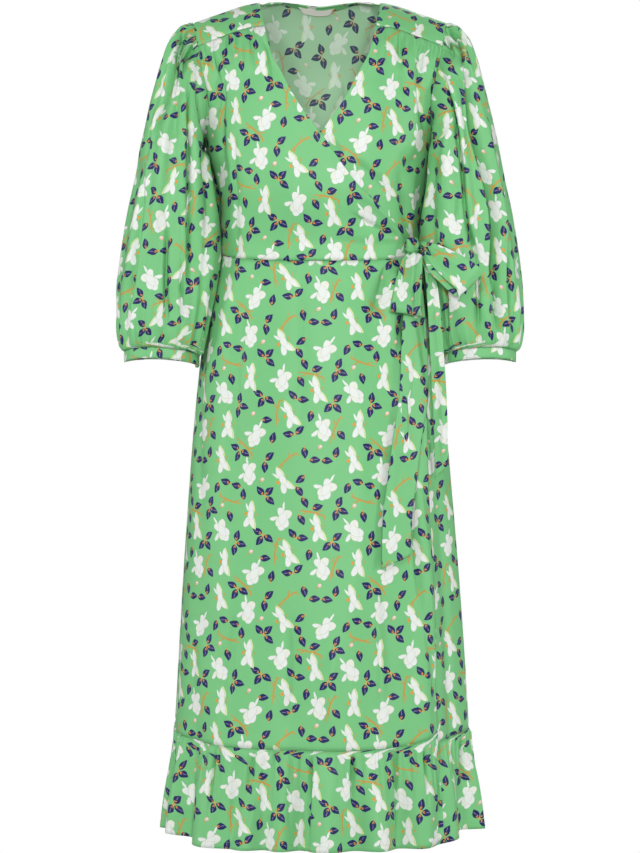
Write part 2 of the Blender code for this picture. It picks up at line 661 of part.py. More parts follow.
def clear_of_side(points, room):
    """Pushes points out from the dress's side to a given room."""
    x, y, z = points[..., 0], points[..., 1], points[..., 2]
    half, front, back, power = section(np.minimum(z, SIDE_STARTS))
    depth = np.where(y < 0, front, back) + room
    share = np.clip(1.0 - (np.abs(y) / depth) ** power, 0.0, 1.0) ** (1 / power)
    least = (half + room) * share
    return np.stack([np.maximum(x, np.where(z < SIDE_STARTS, least, x)), y, z], axis=-1)


def build_sleeves():
    around = sleeve_columns()
    share = np.linspace(0, 1, SLEEVE_ROWS + 1) ** ROW_CROWDING
    edge = armhole(around)
    start = sleeve_ring(np.array([0.0]), around)
    join = 1 - smooth(0.0, SLEEVE_HEAD, share)[:, None, None]
    grid = sleeve_ring(share, around) + (edge[None] - start) * join
    grid = grid + normals(grid, True) * sleeve_relief(share, around)[..., None]
    grid = clear_of_side(grid, SLEEVE_ROOM * smooth(0.0, 0.12, share)[:, None])
    grid[0] = edge + (SEAM_GAP / 2, 0.0, 0.0)
    inner = grid - normals(grid, True) * WALL

    arch = CUFF_ARCH * np.abs(np.sin(np.radians(around))) ** 1.5
    lift_front = smooth(CUFF_ARCH_STARTS, 1.0, share)[:, None] * arch[None, :]
    grid[..., 2] += lift_front
    inner[..., 2] += lift_front
    down = np.linspace(0, -CUFF_HEIGHT, 3)
    cuff = grid[-1][None] + np.stack([0 * down, 0 * down, down], axis=-1)[:, None, :]
    inward = unit((grid[-1] - grid[-1].mean(axis=0)) * (1, 1, 0))
    cuff_inner = cuff - inward[None] * WALL
    for name, mirror in (("left", 1.0), ("right", -1.0)):
        flip = (mirror, 1.0, 1.0)
        wall("sleeve_" + name, grid * flip, inner * flip, closed=True)
        wall("cuff_" + name, cuff * flip, cuff_inner * flip, closed=True)


# ---------------------------------------------------------------- neck facing, label and bow
def between(grid, rows, columns):
    """Points of a grid at fractional rows and columns."""
    rows, columns = np.meshgrid(rows, columns, indexing="ij")
    r = np.minimum(rows.astype(int), grid.shape[0] - 2)
    c = np.minimum(columns.astype(int), grid.shape[1] - 2)
    v, u = (rows - r)[..., None], (columns - c)[..., None]
    low = grid[r, c] * (1 - u) + grid[r, c + 1] * u
    high = grid[r + 1, c] * (1 - u) + grid[r + 1, c + 1] * u
    return low * (1 - v) + high * v


def lay_on(name, under, rows, columns, side, colour=GREEN):
    """A thin piece on another's inner face, made from its points; returns its own inner face."""
    outer = between(under, rows, columns) + side * SEAM_GAP
    inner = outer + side * THIN
    wall(name, outer, inner, colour)
    return inner


def build_neck(back_inner):
    """The facing lies inside the back neckline, and the label lies on the facing."""
    top, middle = back_inner.shape[0] - 1, BACK_COLUMNS // 2
    columns = np.arange(middle - NECK_COLUMNS, middle + NECK_COLUMNS + 1)
    inward = -normals(back_inner, False)[top - 1, columns].mean(axis=0)
    facing = lay_on("back_neck_facing", back_inner, top - np.array(FACING_ROWS), columns, inward)
    half = LABEL_HALF_COLUMNS
    columns = NECK_COLUMNS + np.array([-half, -1.0, 0.0, 1.0, half])
    lay_on("label", facing, np.array(LABEL_ROWS), columns, inward, CREAM)


def build_knot():
    """A rounded block with the ties' folds pulled into it."""
    rings, sides = 9, 14
    folds, fold_depth, fold_start = KNOT_FOLDS
    across, up = KNOT_SQUARE
    points, faces = [(0, 0, -1)], []
    for r in range(1, rings):
        tilt = -np.pi / 2 + np.pi * r / rings
        for s in range(sides):
            turn = 2 * np.pi * s / sides
            squeeze = 1.0 - fold_depth * np.cos(folds * turn + fold_start) * np.cos(tilt)
            level = np.sign(np.sin(tilt)) * np.abs(np.sin(tilt)) ** up
            reach = np.abs(np.cos(tilt)) ** across * squeeze
            points.append((reach * np.cos(turn), reach * np.sin(turn), level))
    points.append((0, 0, 1))
    top = len(points) - 1
    for s in range(sides):
        after = (s + 1) % sides
        faces.append([0, 1 + after, 1 + s])
        faces.append([top, top - sides + s, top - sides + after])
        for r in range(rings - 2):
            low, high = 1 + r * sides, 1 + (r + 1) * sides
            faces.append([low + s, low + after, high + after, high + s])
    angle, height = KNOT_PLACE
    on_dress = skin(angle, height)
    away = unit(skin(angle, height, 1.0) - on_dress)
    along = unit(np.cross((0.0, 0.0, 1.0), away))
    axes = np.stack([along, away, np.cross(along, away) * (0.0, 0.0, 1.0)])
    centre = on_dress + away * (OVER_LIFT + SEAM_GAP * 2 + KNOT_HALF[1])
    solid("tie_knot", (np.array(points) * KNOT_HALF) @ unit(axes) + centre, faces, GREEN)


def band(name, table, columns, rows):
    """A flat tie in front of the dress, between two edges."""
    keys = np.linspace(0, 1, len(table))
    at = np.linspace(0, 1, rows + 1)
    ax, az, bx, bz, room, least = (through(keys, column(table, i), at)[:, None] for i in range(6))
    u = np.linspace(0, 1, columns + 1)[None, :]
    x, z = ax * (1 - u) + bx * u, az * (1 - u) + bz * u
    half, front, _, power = section(z)
    share = np.clip(np.abs(x) / half, 0.0, 1.0)
    dress = front * (1 - share**power) ** (1 / power)
    y = -np.maximum(dress + room, least)
    grid = np.stack([x, y, z], axis=-1)
    wall(name, grid, grid - normals(grid, False) * WALL)


def build_bow():
    build_knot()
    band("tie_loop_hanging", HANGING_LOOP, 4, 16)
    band("tie_loop_side", SIDE_LOOP, 4, 16)
    band("tie_tail_long", LONG_TAIL, 3, 14)
    band("tie_tail_short", SHORT_TAIL, 3, 12)


def main():
    for old in list(bpy.data.objects):
        bpy.data.objects.remove(old, do_unlink=True)
    back_inner = build_bodice()
    build_yokes()
    build_neck(back_inner)
    build_skirt()
    build_ruffles()
    build_sleeves()
    build_bow()


main()
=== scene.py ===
"""The looks of a wrap dress, filled out as it is when worn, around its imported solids.

Metres, +Z up. The front faces -Y, and +X is the wearer's left. Each piece of cloth is a thin shell on the
form of the solid that it replaces: the same sizes and tables give the form, on a finer grid, and creases,
gathers and rolled seams are added to it. Its UV map holds the flat cloth in metres, and the print is drawn
on that.

A place on the dress's skin is given by an angle and a height. The angle runs round the body: 0 is the middle
of the front, +90 the wearer's left side, -90 the right side and 180 the middle of the back. The height is z,
before the slope of the shoulders lowers it.
"""

import bpy
import numpy as np
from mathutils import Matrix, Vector


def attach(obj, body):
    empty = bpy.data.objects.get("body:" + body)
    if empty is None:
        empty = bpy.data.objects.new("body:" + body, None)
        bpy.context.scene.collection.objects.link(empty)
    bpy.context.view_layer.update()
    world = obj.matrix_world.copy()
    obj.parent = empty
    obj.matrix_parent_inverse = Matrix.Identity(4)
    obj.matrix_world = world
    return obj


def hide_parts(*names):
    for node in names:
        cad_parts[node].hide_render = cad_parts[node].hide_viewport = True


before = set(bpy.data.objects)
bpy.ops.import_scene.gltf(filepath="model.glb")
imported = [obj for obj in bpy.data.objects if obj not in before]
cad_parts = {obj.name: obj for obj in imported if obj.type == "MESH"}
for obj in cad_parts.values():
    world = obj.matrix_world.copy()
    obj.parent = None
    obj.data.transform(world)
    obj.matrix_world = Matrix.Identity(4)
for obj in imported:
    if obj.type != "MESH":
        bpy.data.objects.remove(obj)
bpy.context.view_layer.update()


# ---------------------------------------------------------------- sizes of the finer form
SHELL = 0.0006  # thickness of the cloth that shows
SEAM_ROLL = 0.0012  # how far a seam draws the cloth in
SEAM_REACH = 0.0017  # how far from the seam it does
HEM_WIDTH = 0.009  # from a turned edge to its row of stitches
HEM_RIDGE = 0.0003  # how far a turned edge stands out
HEM_ENDS = 1.25  # where it has run out, as a share of its width
HEM_GROOVE = 0.0008  # half width of the groove that its stitches draw in
FINER = {"rows": 6, "columns": 7}  # how many cells of the finer grid each cell of the solid's grid has

# Creases seen from the front: x and z of one end, x and z of the other, half width, depth (under 0 goes in).
FRONT_CREASES = (
    (0.06, -0.105, 0.092, -0.29, 0.034, 0.0075), (-0.078, -0.105, -0.104, -0.29, 0.034, 0.007),
    (0.128, -0.215, 0.118, -0.325, 0.02, -0.0085), (-0.14, -0.225, -0.126, -0.315, 0.019, -0.005),
    (-0.145, -0.08, -0.146, -0.175, 0.007, -0.0053), (-0.135, -0.116, -0.13, -0.25, 0.009, -0.0048),
    (-0.166, -0.21, -0.143, -0.344, 0.008, -0.0044), (-0.116, -0.2, -0.11, -0.358, 0.0085, -0.0035),
    (-0.08, -0.06, -0.066, -0.137, 0.0055, -0.0031), (-0.1, -0.06, -0.098, -0.12, 0.005, 0.0026),
    (-0.06, -0.23, -0.02, -0.33, 0.016, 0.0022), (0.013, -0.203, 0.034, -0.226, 0.004, -0.0022),
    (0.108, -0.336, 0.04, -0.305, 0.006, -0.0044), (0.106, -0.324, 0.03, -0.262, 0.007, 0.004),
    (0.11, -0.345, 0.01, -0.341, 0.0055, -0.0035), (0.148, -0.33, 0.161, -0.215, 0.006, -0.0066),
    (0.131, -0.324, 0.137, -0.225, 0.0065, 0.0053), (0.124, -0.318, 0.104, -0.24, 0.006, -0.0035),
    (0.044, -0.23, 0.104, -0.29, 0.007, -0.004), (0.112, -0.06, 0.12, -0.145, 0.006, -0.0035),
    (0.088, -0.055, 0.079, -0.12, 0.0055, 0.0031), (0.14, -0.07, 0.146, -0.19, 0.007, -0.0048),
    (0.09, -0.378, 0.069, -0.452, 0.006, -0.0057), (0.104, -0.378, 0.099, -0.5, 0.0065, 0.0066),
    (0.114, -0.44, 0.11, -0.56, 0.008, -0.0075), (0.117, -0.468, 0.122, -0.661, 0.009, 0.0079),
    (0.122, -0.64, 0.14, -1.006, 0.009, 0.0066), (0.137, -0.46, 0.158, -0.99, 0.007, -0.0075),
    (-0.028, -0.385, -0.033, -0.62, 0.013, -0.0026), (-0.097, -0.382, -0.112, -0.76, 0.015, -0.0035),
    (0.034, -0.427, 0.046, -0.88, 0.017, 0.0038), (-0.149, -0.4, -0.16, -0.76, 0.012, -0.0035),
    (0.072, -0.8, 0.08, -1.035, 0.011, -0.0045), (-0.11, -0.84, -0.124, -1.03, 0.011, -0.0042),
    (-0.041, -0.86, -0.047, -1.035, 0.012, -0.0038), (0.02, -0.9, 0.018, -1.035, 0.01, 0.0035),
    (-0.16, -0.88, -0.172, -1.02, 0.011, 0.0042),
)

# The same for the back, seen from behind, so that x still runs to the wearer's left.
BACK_CREASES = (
    (0.026, -0.075, 0.03, -0.19, 0.0045, -0.0026), (0.12, -0.08, 0.104, -0.22, 0.01, -0.0035),
    (-0.124, -0.09, -0.1, -0.24, 0.011, -0.0035), (0.06, -0.19, 0.052, -0.345, 0.011, -0.0032),
    (-0.052, -0.18, -0.06, -0.345, 0.012, -0.0035), (0.112, -0.23, 0.118, -0.345, 0.008, 0.004),
    (-0.115, -0.24, -0.108, -0.345, 0.008, 0.0035), (0.004, -0.22, -0.006, -0.34, 0.01, 0.0022),
    (0.08, -0.365, 0.098, -0.64, 0.014, -0.0038), (-0.076, -0.365, -0.09, -0.7, 0.015, -0.0042),
    (0.01, -0.42, 0.014, -0.86, 0.017, 0.0038), (-0.13, -0.4, -0.15, -0.82, 0.013, 0.0038),
    (0.14, -0.42, 0.156, -0.76, 0.012, -0.0035), (0.06, -0.78, 0.07, -1.01, 0.012, -0.0042),
    (-0.046, -0.82, -0.054, -1.01, 0.012, -0.0042), (-0.12, -0.86, -0.13, -1.01, 0.011, 0.0038),
)

# Gathers: room from one to the next, depth, how far they reach.
YOKE_GATHERS = (0.0080, 0.0015, 0.034)
RUFFLE_GATHERS = (0.0105, 0.0024, 0.040)
SLEEVE_HEAD_GATHERS = (0.0072, 0.0010, 0.022)
CUFF_GATHERS_FINE = (0.0090, 0.0022, 0.030)
WAIST_PUCKERS = (0.0105, 0.0008, 0.016)

# What makes gathers uneven, as slow waves: times in a gather, size, start in radians, and how many times a
# piece's seed is added to that start.
GATHERS_SWAY = ((0.27, 1.2, 1.0, 1.0), (0.61, 0.7, 0.0, 2.4))  # in their places, in radians
GATHERS_DEPTH = (0.43, 0.38, 1.7, 3.1)  # in their depth, as a share
GATHERS_REACH = (0.19, 0.75, 0.5)  # times in a gather, least share, and how much more at most
FINE_GATHERS = (2.3, 0.35)  # the smallest gathers among them: times in a gather, size as a share
GATHERS_FALL = 1.3  # how steeply gathers run out

CREASE_BOW = 0.035  # how far a crease bends, as a share of its length
CREASE_TAPER = (-0.06, 0.22, 0.62, 1.08)  # shares of its length where it begins, is full, fades and ends
CREASE_START, CREASE_WIDENS = 0.8, 0.5  # its width at its first end, and how much wider it is at the other
CREASE_SIDES = (-0.010, 0.035)  # how far from the middle of the dress's depth creases set in, and are full
FOLD_STEEP = 0.60  # how far a fold's steep side reaches, as a share of its half width
FOLD_SLOW = 2.0  # the same for its slow side
FOLD_CREASE = 0.42  # half width of its narrow crease, as a share of the fold's
FOLD_PART = 0.75  # depth of the soft fold, and of the crease in it, as a share of the fold's
FOLD_FALL = 1.25  # how steeply the soft fold runs out
FOLD_SHOULDER = 0.30  # how far the cloth beside a fold stands out, as a share of its depth
FOLD_BESIDE = (1.9, 1.4)  # place and half width of that cloth, in the fold's half widths
WIDEST_FOLD = 0.018  # half width from which a trough is soft on both its sides
SKIRT_FINER = 2  # how many cells a skirt's rows are cut into before the finer grid
RUFFLE_RADIUS = 0.190  # from the middle to the ruffles, for the pitch of their gathers
RUFFLE_PITCH = 0.044  # room from one narrow fold of a ruffle to the next
RUFFLE_FOLD = 0.0140  # depth of those folds
RUFFLE_FOLD_WIDTH = 0.21  # their half width, as the sine of half a turn
FOLDS_SWAY = ((0.31, 1.4, 0.7, 0.0), (0.83, 0.8, 2.0, 0.0))  # slow waves in their places, as for gathers
FOLDS_DEPTH = (0.37, 0.4, 1.0, 0.0)  # the same in their depth
FOLDS_REACH = (0.23, 0.078, 0.075, 2.0)  # times in a fold, least length, how much more at most, start
FOLDS_LEAN = 6  # how far they lean, in radians for each metre down
FOLDS_START = 0.022  # depth under the seam at which they are full
FOLDS_FADE = (0.25, 1.2)  # shares of their length where they start to fade, and are gone
YOKE_LIFT = 0.0003  # how far a yoke stands off, over the turned edges of its seams
UNDERARM = (142, 26, 0.0090, 0.10, 0.40)  # full cloth under an arm: angle, half width, depth, shares
SLEEVE_COLUMNS_FINE = 400
SLEEVE_ROWS_FINE = 104
SLEEVE_RADIUS = 0.074
SLEEVE_LENGTH = 0.47
FLAT_LEVELS = 400  # levels at which a sleeve is measured for its flat cut
CLEAR_FROM = 0.12  # share of the way down from which it keeps all its room to the dress's side
CUFF_ROWS_FINE = 8
CUFF_STITCHES = (0.0018, 0.0022)  # from a cuff's top and bottom edges to their rows of stitches
CUFF_ROUND = 0.0007  # how far the middle of a cuff stands out past its edges
CUFF_SMOOTHED = 4  # how many columns on each side its form is smoothed over
CUFF_CALM = 0.35  # share of its height over which the sleeve's gathers die away

# Pleats over the top of a sleeve's head: angle round it, half width in degrees, depth, share where each ends.
SLEEVE_PLEATS = (
    (-46, 2.6, 0.0051, 0.2), (-34, 2.6, 0.006, 0.14), (-21, 2.8, 0.0051, 0.18), (-8, 3.0, 0.0045, 0.12),
    (6, 2.8, 0.0045, 0.13), (17, 2.6, 0.0057, 0.16), (28, 2.4, 0.006, 0.18), (40, 2.4, 0.0051, 0.12),
)
PLEAT_SHOULDER = 0.4  # how far the cloth beside a pleat stands out, as a share of its depth
PLEAT_BESIDE = 2.4  # where that cloth is, in the pleat's half widths
PLEAT_SWAY = (5, 7, 0.1)  # how far a pleat bends in degrees, how fast, and the part its place has in that
PLEAT_OPENS = 3  # how much wider it would be at the cuff
PLEAT_STARTS = (-0.01, 0.015)  # shares of the sleeve where it begins and is full
PLEAT_FADES = 0.3  # share of its length from which it fades
HEAD_TOP = (-70, -40, 40, 70)  # angles round the head where its gathers begin, are full, fade and end

HEAD_PLEATS_TO = 0.070  # depth under the neck above which a hanging fold starts as a pleat
HEAD_PLEAT_OPENS = 0.014  # length over which such a fold opens
FOLD_OPENS = 0.065  # the same for one that starts lower
FOLD_ENDS = (0.012, 0.040, 0.010)  # how far before its first point it begins, and round its last it fades
FOLD_SIDES = (-0.004, 0.014)  # how far from the middle of a sleeve's depth they set in, and are full

# Folds that hang down a sleeve, as they are seen from the front: half width, depth, then the x (outwards) and
# z of points down each. The back of each sleeve has those of the other one.
HANGING_FOLDS = {
    "right": (
        (0.0051, -0.0134, ((0.1945, -0.046), (0.203, -0.076), (0.2144, -0.117), (0.2244, -0.159),
            (0.23, -0.205))),
        (0.0048, -0.0117, ((0.1846, -0.048), (0.1945, -0.081), (0.2016, -0.112), (0.2031, -0.138))),
        (0.0051, -0.0113, ((0.174, -0.058), (0.1846, -0.086), (0.188, -0.112))),
        (0.0051, -0.0117, ((0.1818, -0.11), (0.1818, -0.18), (0.1832, -0.25), (0.1832, -0.357),
            (0.184, -0.41))),
        (0.0057, -0.0092, ((0.1718, -0.102), (0.167, -0.15), (0.161, -0.223), (0.157, -0.27))),
        (0.009, -0.0088, ((0.244, -0.23), (0.2514, -0.305), (0.2627, -0.39), (0.27, -0.44))),
        (0.0066, -0.0088, ((0.2134, -0.3), (0.2144, -0.421), (0.212, -0.47))),
        (0.006, -0.0082, ((0.1932, -0.35), (0.1917, -0.47))),
        (0.0117, 0.0073, ((0.212, -0.15), (0.219, -0.24), (0.226, -0.33))),
        (0.0075, -0.0077, ((0.235, -0.16), (0.242, -0.24))),
    ),
    "left": (
        (0.0054, -0.0139, ((0.1683, -0.1), (0.1769, -0.137), (0.1846, -0.167), (0.1913, -0.199),
            (0.1974, -0.243), (0.2031, -0.309), (0.2116, -0.345), (0.2224, -0.372))),
        (0.0048, -0.0123, ((0.1818, -0.042), (0.1931, -0.058), (0.1988, -0.07), (0.204, -0.1))),
        (0.0045, -0.0108, ((0.169, -0.042), (0.1803, -0.062), (0.1846, -0.084))),
        (0.0054, -0.0123, ((0.2073, -0.075), (0.2116, -0.159), (0.213, -0.176), (0.2229, -0.223),
            (0.2357, -0.27), (0.2414, -0.299), (0.2442, -0.345), (0.2414, -0.405))),
        (0.0063, -0.0088, ((0.2428, -0.35), (0.2499, -0.48))),
        (0.006, -0.0088, ((0.2187, -0.35), (0.2215, -0.475))),
        (0.006, -0.0077, ((0.26, -0.32), (0.267, -0.471))),
        (0.006, -0.0082, ((0.1704, -0.34), (0.1775, -0.488))),
        (0.009, -0.0072, ((0.1917, -0.251), (0.1874, -0.322))),
        (0.0123, 0.0069, ((0.19, -0.2), (0.196, -0.3), (0.2, -0.4))),
    ),
}

# Creases along the ties: share of the way across, half width, depth, shares along where it begins and ends.
TIE_CREASES = {
    "tie_loop_hanging": (
        (0.3, 0.09, -0.0025, -0.1, 0.34), (0.62, 0.1, 0.0023, -0.1, 0.4), (0.8, 0.07, -0.0019, 0.05, 0.5),
        (0.45, 0.1, -0.0021, 0.62, 1.1),
    ),
    "tie_loop_side": (
        (0.35, 0.1, -0.0025, -0.1, 0.36), (0.66, 0.1, 0.0025, -0.1, 0.42), (0.5, 0.1, -0.0021, 0.66, 1.1),
    ),
    "tie_tail_long": (
        (0.34, 0.1, -0.0023, -0.1, 0.22), (0.68, 0.09, 0.0019, -0.1, 0.34),
        (0.5, 0.14, -0.0019, 0.3, 0.8), (0.2, 0.08, 0.0015, 0.55, 1.0),
    ),
    "tie_tail_short": (
        (0.45, 0.16, -0.0023, -0.1, 0.45), (0.6, 0.14, 0.0017, 0.4, 1.0),
    ),
}
TIE_CREASE_ENDS = (0.1, 0.15)  # shares along over which a crease sets in and fades
TIE_GRID = (120, 24)  # rows and columns of a tie
KNOT_GRID = (40, 72)  # rings and sides of the knot
KNOT_CLOTH = 0.012  # half the width and height of the cloth that it shows
KNOT_WINDS = 2.4  # how far its creases wind round it from bottom to top
KNOT_CREASES = ((4, 0.13, 1.1), (7, 0.06, 2.0))  # creases round the knot: how many, depth as a share, start
FACING_IN = 0.0016  # how far inside the back's face the strip's face lies
LABEL_IN = 0.0023  # the same for the label
FACING_GRID, LABEL_GRID = (16, 97), (18, 40)  # rows and columns of points
LABEL_TAPER = 0.26  # how much narrower the label is at its bottom, as a share
LABEL_SPAN = (0.35, 0.76)  # the label's top and bottom, in rows of the back below its neckline
LABEL_HALF = 2.05  # half the label's width, in the back's columns
LABEL_ASIDE = 0.42  # how far its middle lies to the side, in columns

STITCH = (0.0030, 0.0019, 0.00022)  # from one stitch to the next, length, half thickness
BAR_CORNERS = (
    (-1, 0, -0.6), (-0.6, 1, 0), (-0.6, 0, 1), (-0.6, -1, 0),
    (0.6, 1, 0), (0.6, 0, 1), (0.6, -1, 0), (1, 0, -0.6),
)
BAR_FACES = (
    (0, 1, 2), (0, 2, 3), (7, 5, 4), (7, 6, 5), (1, 4, 5, 2), (2, 5, 6, 3), (0, 3, 6, 7), (0, 7, 4, 1),
)

# Where each piece lies on the printed cloth, in metres.
PRINT_ORIGIN = {
    "bodice_front_over": (0.0, 0.0), "bodice_front_under": (0.062, 0.031), "bodice_back": (0.093, 0.117),
    "yoke_left": (0.051, 0.083), "yoke_right": (0.14, 0.026), "skirt_front_over": (0.024, 0.055),
    "skirt_front_under": (0.131, 0.094), "skirt_back": (0.077, 0.012), "ruffle_over": (0.11, 0.042),
    "ruffle_under": (0.018, 0.129), "ruffle_back": (0.151, 0.088), "sleeve_left": (0.036, 0.071),
    "sleeve_right": (0.121, 0.148), "cuff_left": (0.012, 0.16), "cuff_right": (0.088, 0.047),
    "back_neck_facing": (0.02, 0.104), "tie_knot": (0.064, 0.136), "tie_loop_hanging": (0.098, 0.021),
    "tie_loop_side": (0.029, 0.066), "tie_tail_long": (0.143, 0.115), "tie_tail_short": (0.007, 0.092),
}


# ---------------------------------------------------------------- camera, floor and lights
PIXEL = 0.00142  # metres that a pixel spans at y = 0
FRAME_HEIGHT = 853
SENSOR = 36.0
CAMERA_AWAY = 4.0
CAMERA_HEIGHT = -0.601
FLOOR_SIZE = 60.0
FLOOR_HEIGHT = -1.30
SKY_LIGHT = 0.17
SKY_SEEN = 1.0

# The lights: name, place, the point that each is turned to, width and power in watts.
LIGHTS = (
    ("key", (-1.6, -4.2, 1.8), (0.0, 0.0, -0.60), 0.7, 55.0),
    ("front", (0.5, -4.7, 0.3), (0.0, 0.0, -0.60), 0.8, 78.0),
    ("top", (0.1, -1.7, 2.0), (0.0, 0.0, 0.0), 0.6, 11.0),
    ("right", (3.6, -1.1, 0.2), (0.0, 0.0, -0.60), 0.8, 44.0),
    ("left", (-3.6, -1.1, 0.2), (0.0, 0.0, -0.60), 0.8, 38.0),
    ("behind", (0.6, 3.0, 1.4), (0.0, 0.0, -0.50), 2.0, 40.0),
)


# ---------------------------------------------------------------- the print and the cloth
# The print is in millimetres on the flat cloth, and repeats both ways. Each motif's places: x, y and its turn
# in degrees.
REPEAT = 190.0
CUP_PLACES = ((22, 20, 12), (118, 12, -28), (66, 70, 34), (158, 88, -14), (30, 128, -34), (110, 150, 6))
STAR_PLACES = ((72, 26, -8), (166, 40, 14), (16, 74, 2), (112, 92, -16), (160, 140, 22), (66, 168, 8))
LEAF_PLACES = (
    (102, 119, 88), (92, 132, 170), (75, 137, 164), (60, 130, -114), (189, 179, -79), (12, 168, 3),
    (29, 167, -3), (42, 177, 79), (126, 58, -122), (137, 61, -34), (123, 69, 154), (140, 124, 45),
    (129, 124, 133), (141, 113, -39), (51, 98, -21), (47, 109, 67), (42, 93, -105), (97, 52, -12),
    (91, 62, 76), (88, 45, -96), (41, 50, -48), (42, 62, 40), (30, 50, -132), (91, 174, -117),
    (102, 178, -29), (87, 185, 159), (186, 142, -140), (183, 126, -58), (0, 111, -64), (16, 103, 18),
    (134, 159, -85), (139, 172, 45), (179, 18, 46), (166, 13, 176), (184, 61, 1), (172, 66, 131),
    (132, 33, 2), (80, 91, -77), (5, 39, -100), (47, 13, -47), (143, 7, 81), (184, 87, -59),
)
TWIG_PLACES = ((10, 96, -13), (81, 111, 163), (148, 43, 82), (163, 167, 41), (103, 187, -42), (38, 20, 71))
BUD_PLACES = ((20, 186, 0), (68, 105, 0), (113, 42, 0), (131, 141, 0))

# Strokes of each motif: x, y, turn, half length, half width, point (0.5 round, 1 pointed), widest end, bend
# and colour.
CUP_STROKES = (
    (-1.5, 17.5, 96, 5.8, 1.5, 0.6, -0.3, 0.4, "white"),
    (-11.5, -3.5, 212, 6.2, 2.9, 0.6, 0.3, 0.3, "white"),
    (-3.0, 7.0, 108, 7.2, 5.2, 0.5, 0.2, -0.2, "white"),
    (1.2, -10.6, -84, 7.0, 5.6, 0.5, 0.1, 0.1, "white"),
    (4.8, 5.8, 62, 8.2, 6.0, 0.5, 0.2, 0.2, "cream"),
    (4.6, -4.6, -66, 8.0, 5.6, 0.5, 0.1, 0.0, "white"),
    (-2.8, -5.2, -102, 8.2, 5.6, 0.5, 0.1, 0.0, "cream"),
    (0.4, -0.4, 86, 8.6, 6.0, 0.5, 0.0, 0.2, "white"),
)
STAR_STROKES = (
    (-8.4, -0.6, 80, 3.4, 2.3, 0.6, 0.0, 0.3, "orange"),
    (9.4, 3.0, 62, 4.2, 0.8, 0.6, 0.0, 0.3, "ochre"),
    (-7.4, 9.8, 128, 7.6, 2.0, 0.8, -0.3, 0.3, "white"),
    (-0.8, 12.6, 104, 11.0, 5.6, 0.9, -0.3, 0.3, "lime"),
    (-1.6, 12.2, 105, 10.2, 4.6, 0.9, -0.3, 0.1, "white"),
    (-3.0, -11.8, -99, 9.2, 4.7, 0.6, 0.3, 0.2, "white"),
    (6.2, -10.8, -58, 11.8, 5.5, 0.9, -0.2, -0.4, "lime"),
    (5.2, -10.4, -60, 10.8, 4.5, 0.9, -0.2, -0.1, "white"),
    (0.4, 0.2, 98, 8.0, 5.2, 0.5, 0.0, 0.1, "white"),
)
LEAF_STROKES = (
    (-5.8, 0.0, 0, 2.3, 1.4, 0.8, 0.2, 0.2, "orange"),
    (1.8, 0.0, 0, 8.0, 4.8, 0.9, -0.35, 0.22, "navy"),
    (2.6, 0.5, 8, 3.6, 0.42, 0.6, 0.2, 0.5, "lilac"),
    (-3.1, -0.7, -20, 2.3, 0.66, 1.0, 0.3, -0.5, "orange"),
    (-3.3, 0.9, 24, 1.9, 0.58, 1.0, 0.3, 0.5, "orange"),
)
TWIG_STROKES = (
    (0.0, 0.0, 0, 19.5, 1.4, 0.35, 0.2, 1.6, "ochre"),
    (8.5, 3.2, 42, 6.0, 0.85, 0.4, -0.2, 0.5, "ochre"),
    (-9.0, -3.0, 215, 5.5, 0.85, 0.4, -0.2, 0.5, "ochre"),
    (17.0, -4.0, -58, 5.0, 0.8, 0.5, -0.2, 0.3, "ochre"),
)
BUD_STROKES = (
    (-2.5, -2.5, 45, 4.5, 0.6, 0.5, 0.0, 0.3, "ochre"),
    (0.0, 0.0, 30, 3.1, 2.7, 0.5, 0.0, 0.1, "rose"),
    (0.6, 0.6, 30, 1.6, 1.2, 0.5, 0.0, 0.1, "cream"),
)
MOTIFS = (
    (1.00, TWIG_PLACES, TWIG_STROKES),
    (0.98, LEAF_PLACES, LEAF_STROKES),
    (1.00, BUD_PLACES, BUD_STROKES),
    (0.98, CUP_PLACES, CUP_STROKES),
    (0.88, STAR_PLACES, STAR_STROKES),
)
INKS = {
    "ground": (0.178, 0.525, 0.209), "white": (0.745, 0.775, 0.74), "cream": (0.745, 0.765, 0.68),
    "outline": (0.38, 0.43, 0.36), "lime": (0.64, 0.72, 0.33), "navy": (0.012, 0.014, 0.098),
    "lilac": (0.23, 0.21, 0.42), "orange": (0.68, 0.3, 0.05), "ochre": (0.5, 0.31, 0.065),
    "rose": (0.72, 0.44, 0.38),
}
INK_EDGE = 0.35  # width over which a stroke's edge fades
RAGGED = (0.45, 1.1)  # how fine the raggedness of the strokes is, and how far it moves them
MOTTLE = (0.02, 0.5, -0.1, 0.9)  # the ground's darker clouds: how fine, spread, least and shade
OUTLINE = 0.90  # width of the fine line round a white petal
LINED = (0.75, 2)  # strength of that line, and the half width from which a petal has it
# How far the darkest colours pale on the wrong side, how much more the lightest do, and towards what: a paler
# wrong side, paled further as painted light for the shaded inside of the dress.
PALING_AND_PAINTED_LIGHT = (0.06, 0.72, (0.78, 1.0, 0.78))
TURN_SHARE = 50.0  # a motif's turn is kept as a small part of its place's third number
CREPE_ROUGHNESS = (0.50, 0.62)  # of the right side and the wrong side
CREPE_WEAVE = 1900.0  # how fine the cloth's grain is
CREPE_BUMP = 0.00004
CREPE_SURFACE = {"Sheen Weight": 0.04, "Sheen Roughness": 0.45, "Specular IOR Level": 0.28}
GLOSS_SPREAD = 0.12  # how uneven the gloss is
TAPE_COLOUR = (0.92, 0.89, 0.81)
TAPE_BUMP = 0.00006  # of the label and the thread
TAPE_SHADE = 0.82  # their darker parts
THREAD_COLOUR = (0.16, 0.47, 0.20)


# ---------------------------------------------------------------- driving sizes
WALL = 0.0015  # thickness of the cloth's wall
SEAM_GAP = 0.00036  # room between two pieces that are sewn together
OVER_LIFT = 0.0038  # how far the wrapping front stands off what lies under it
SLEEVE_ROOM = 0.0065  # room between a sleeve and the dress's side

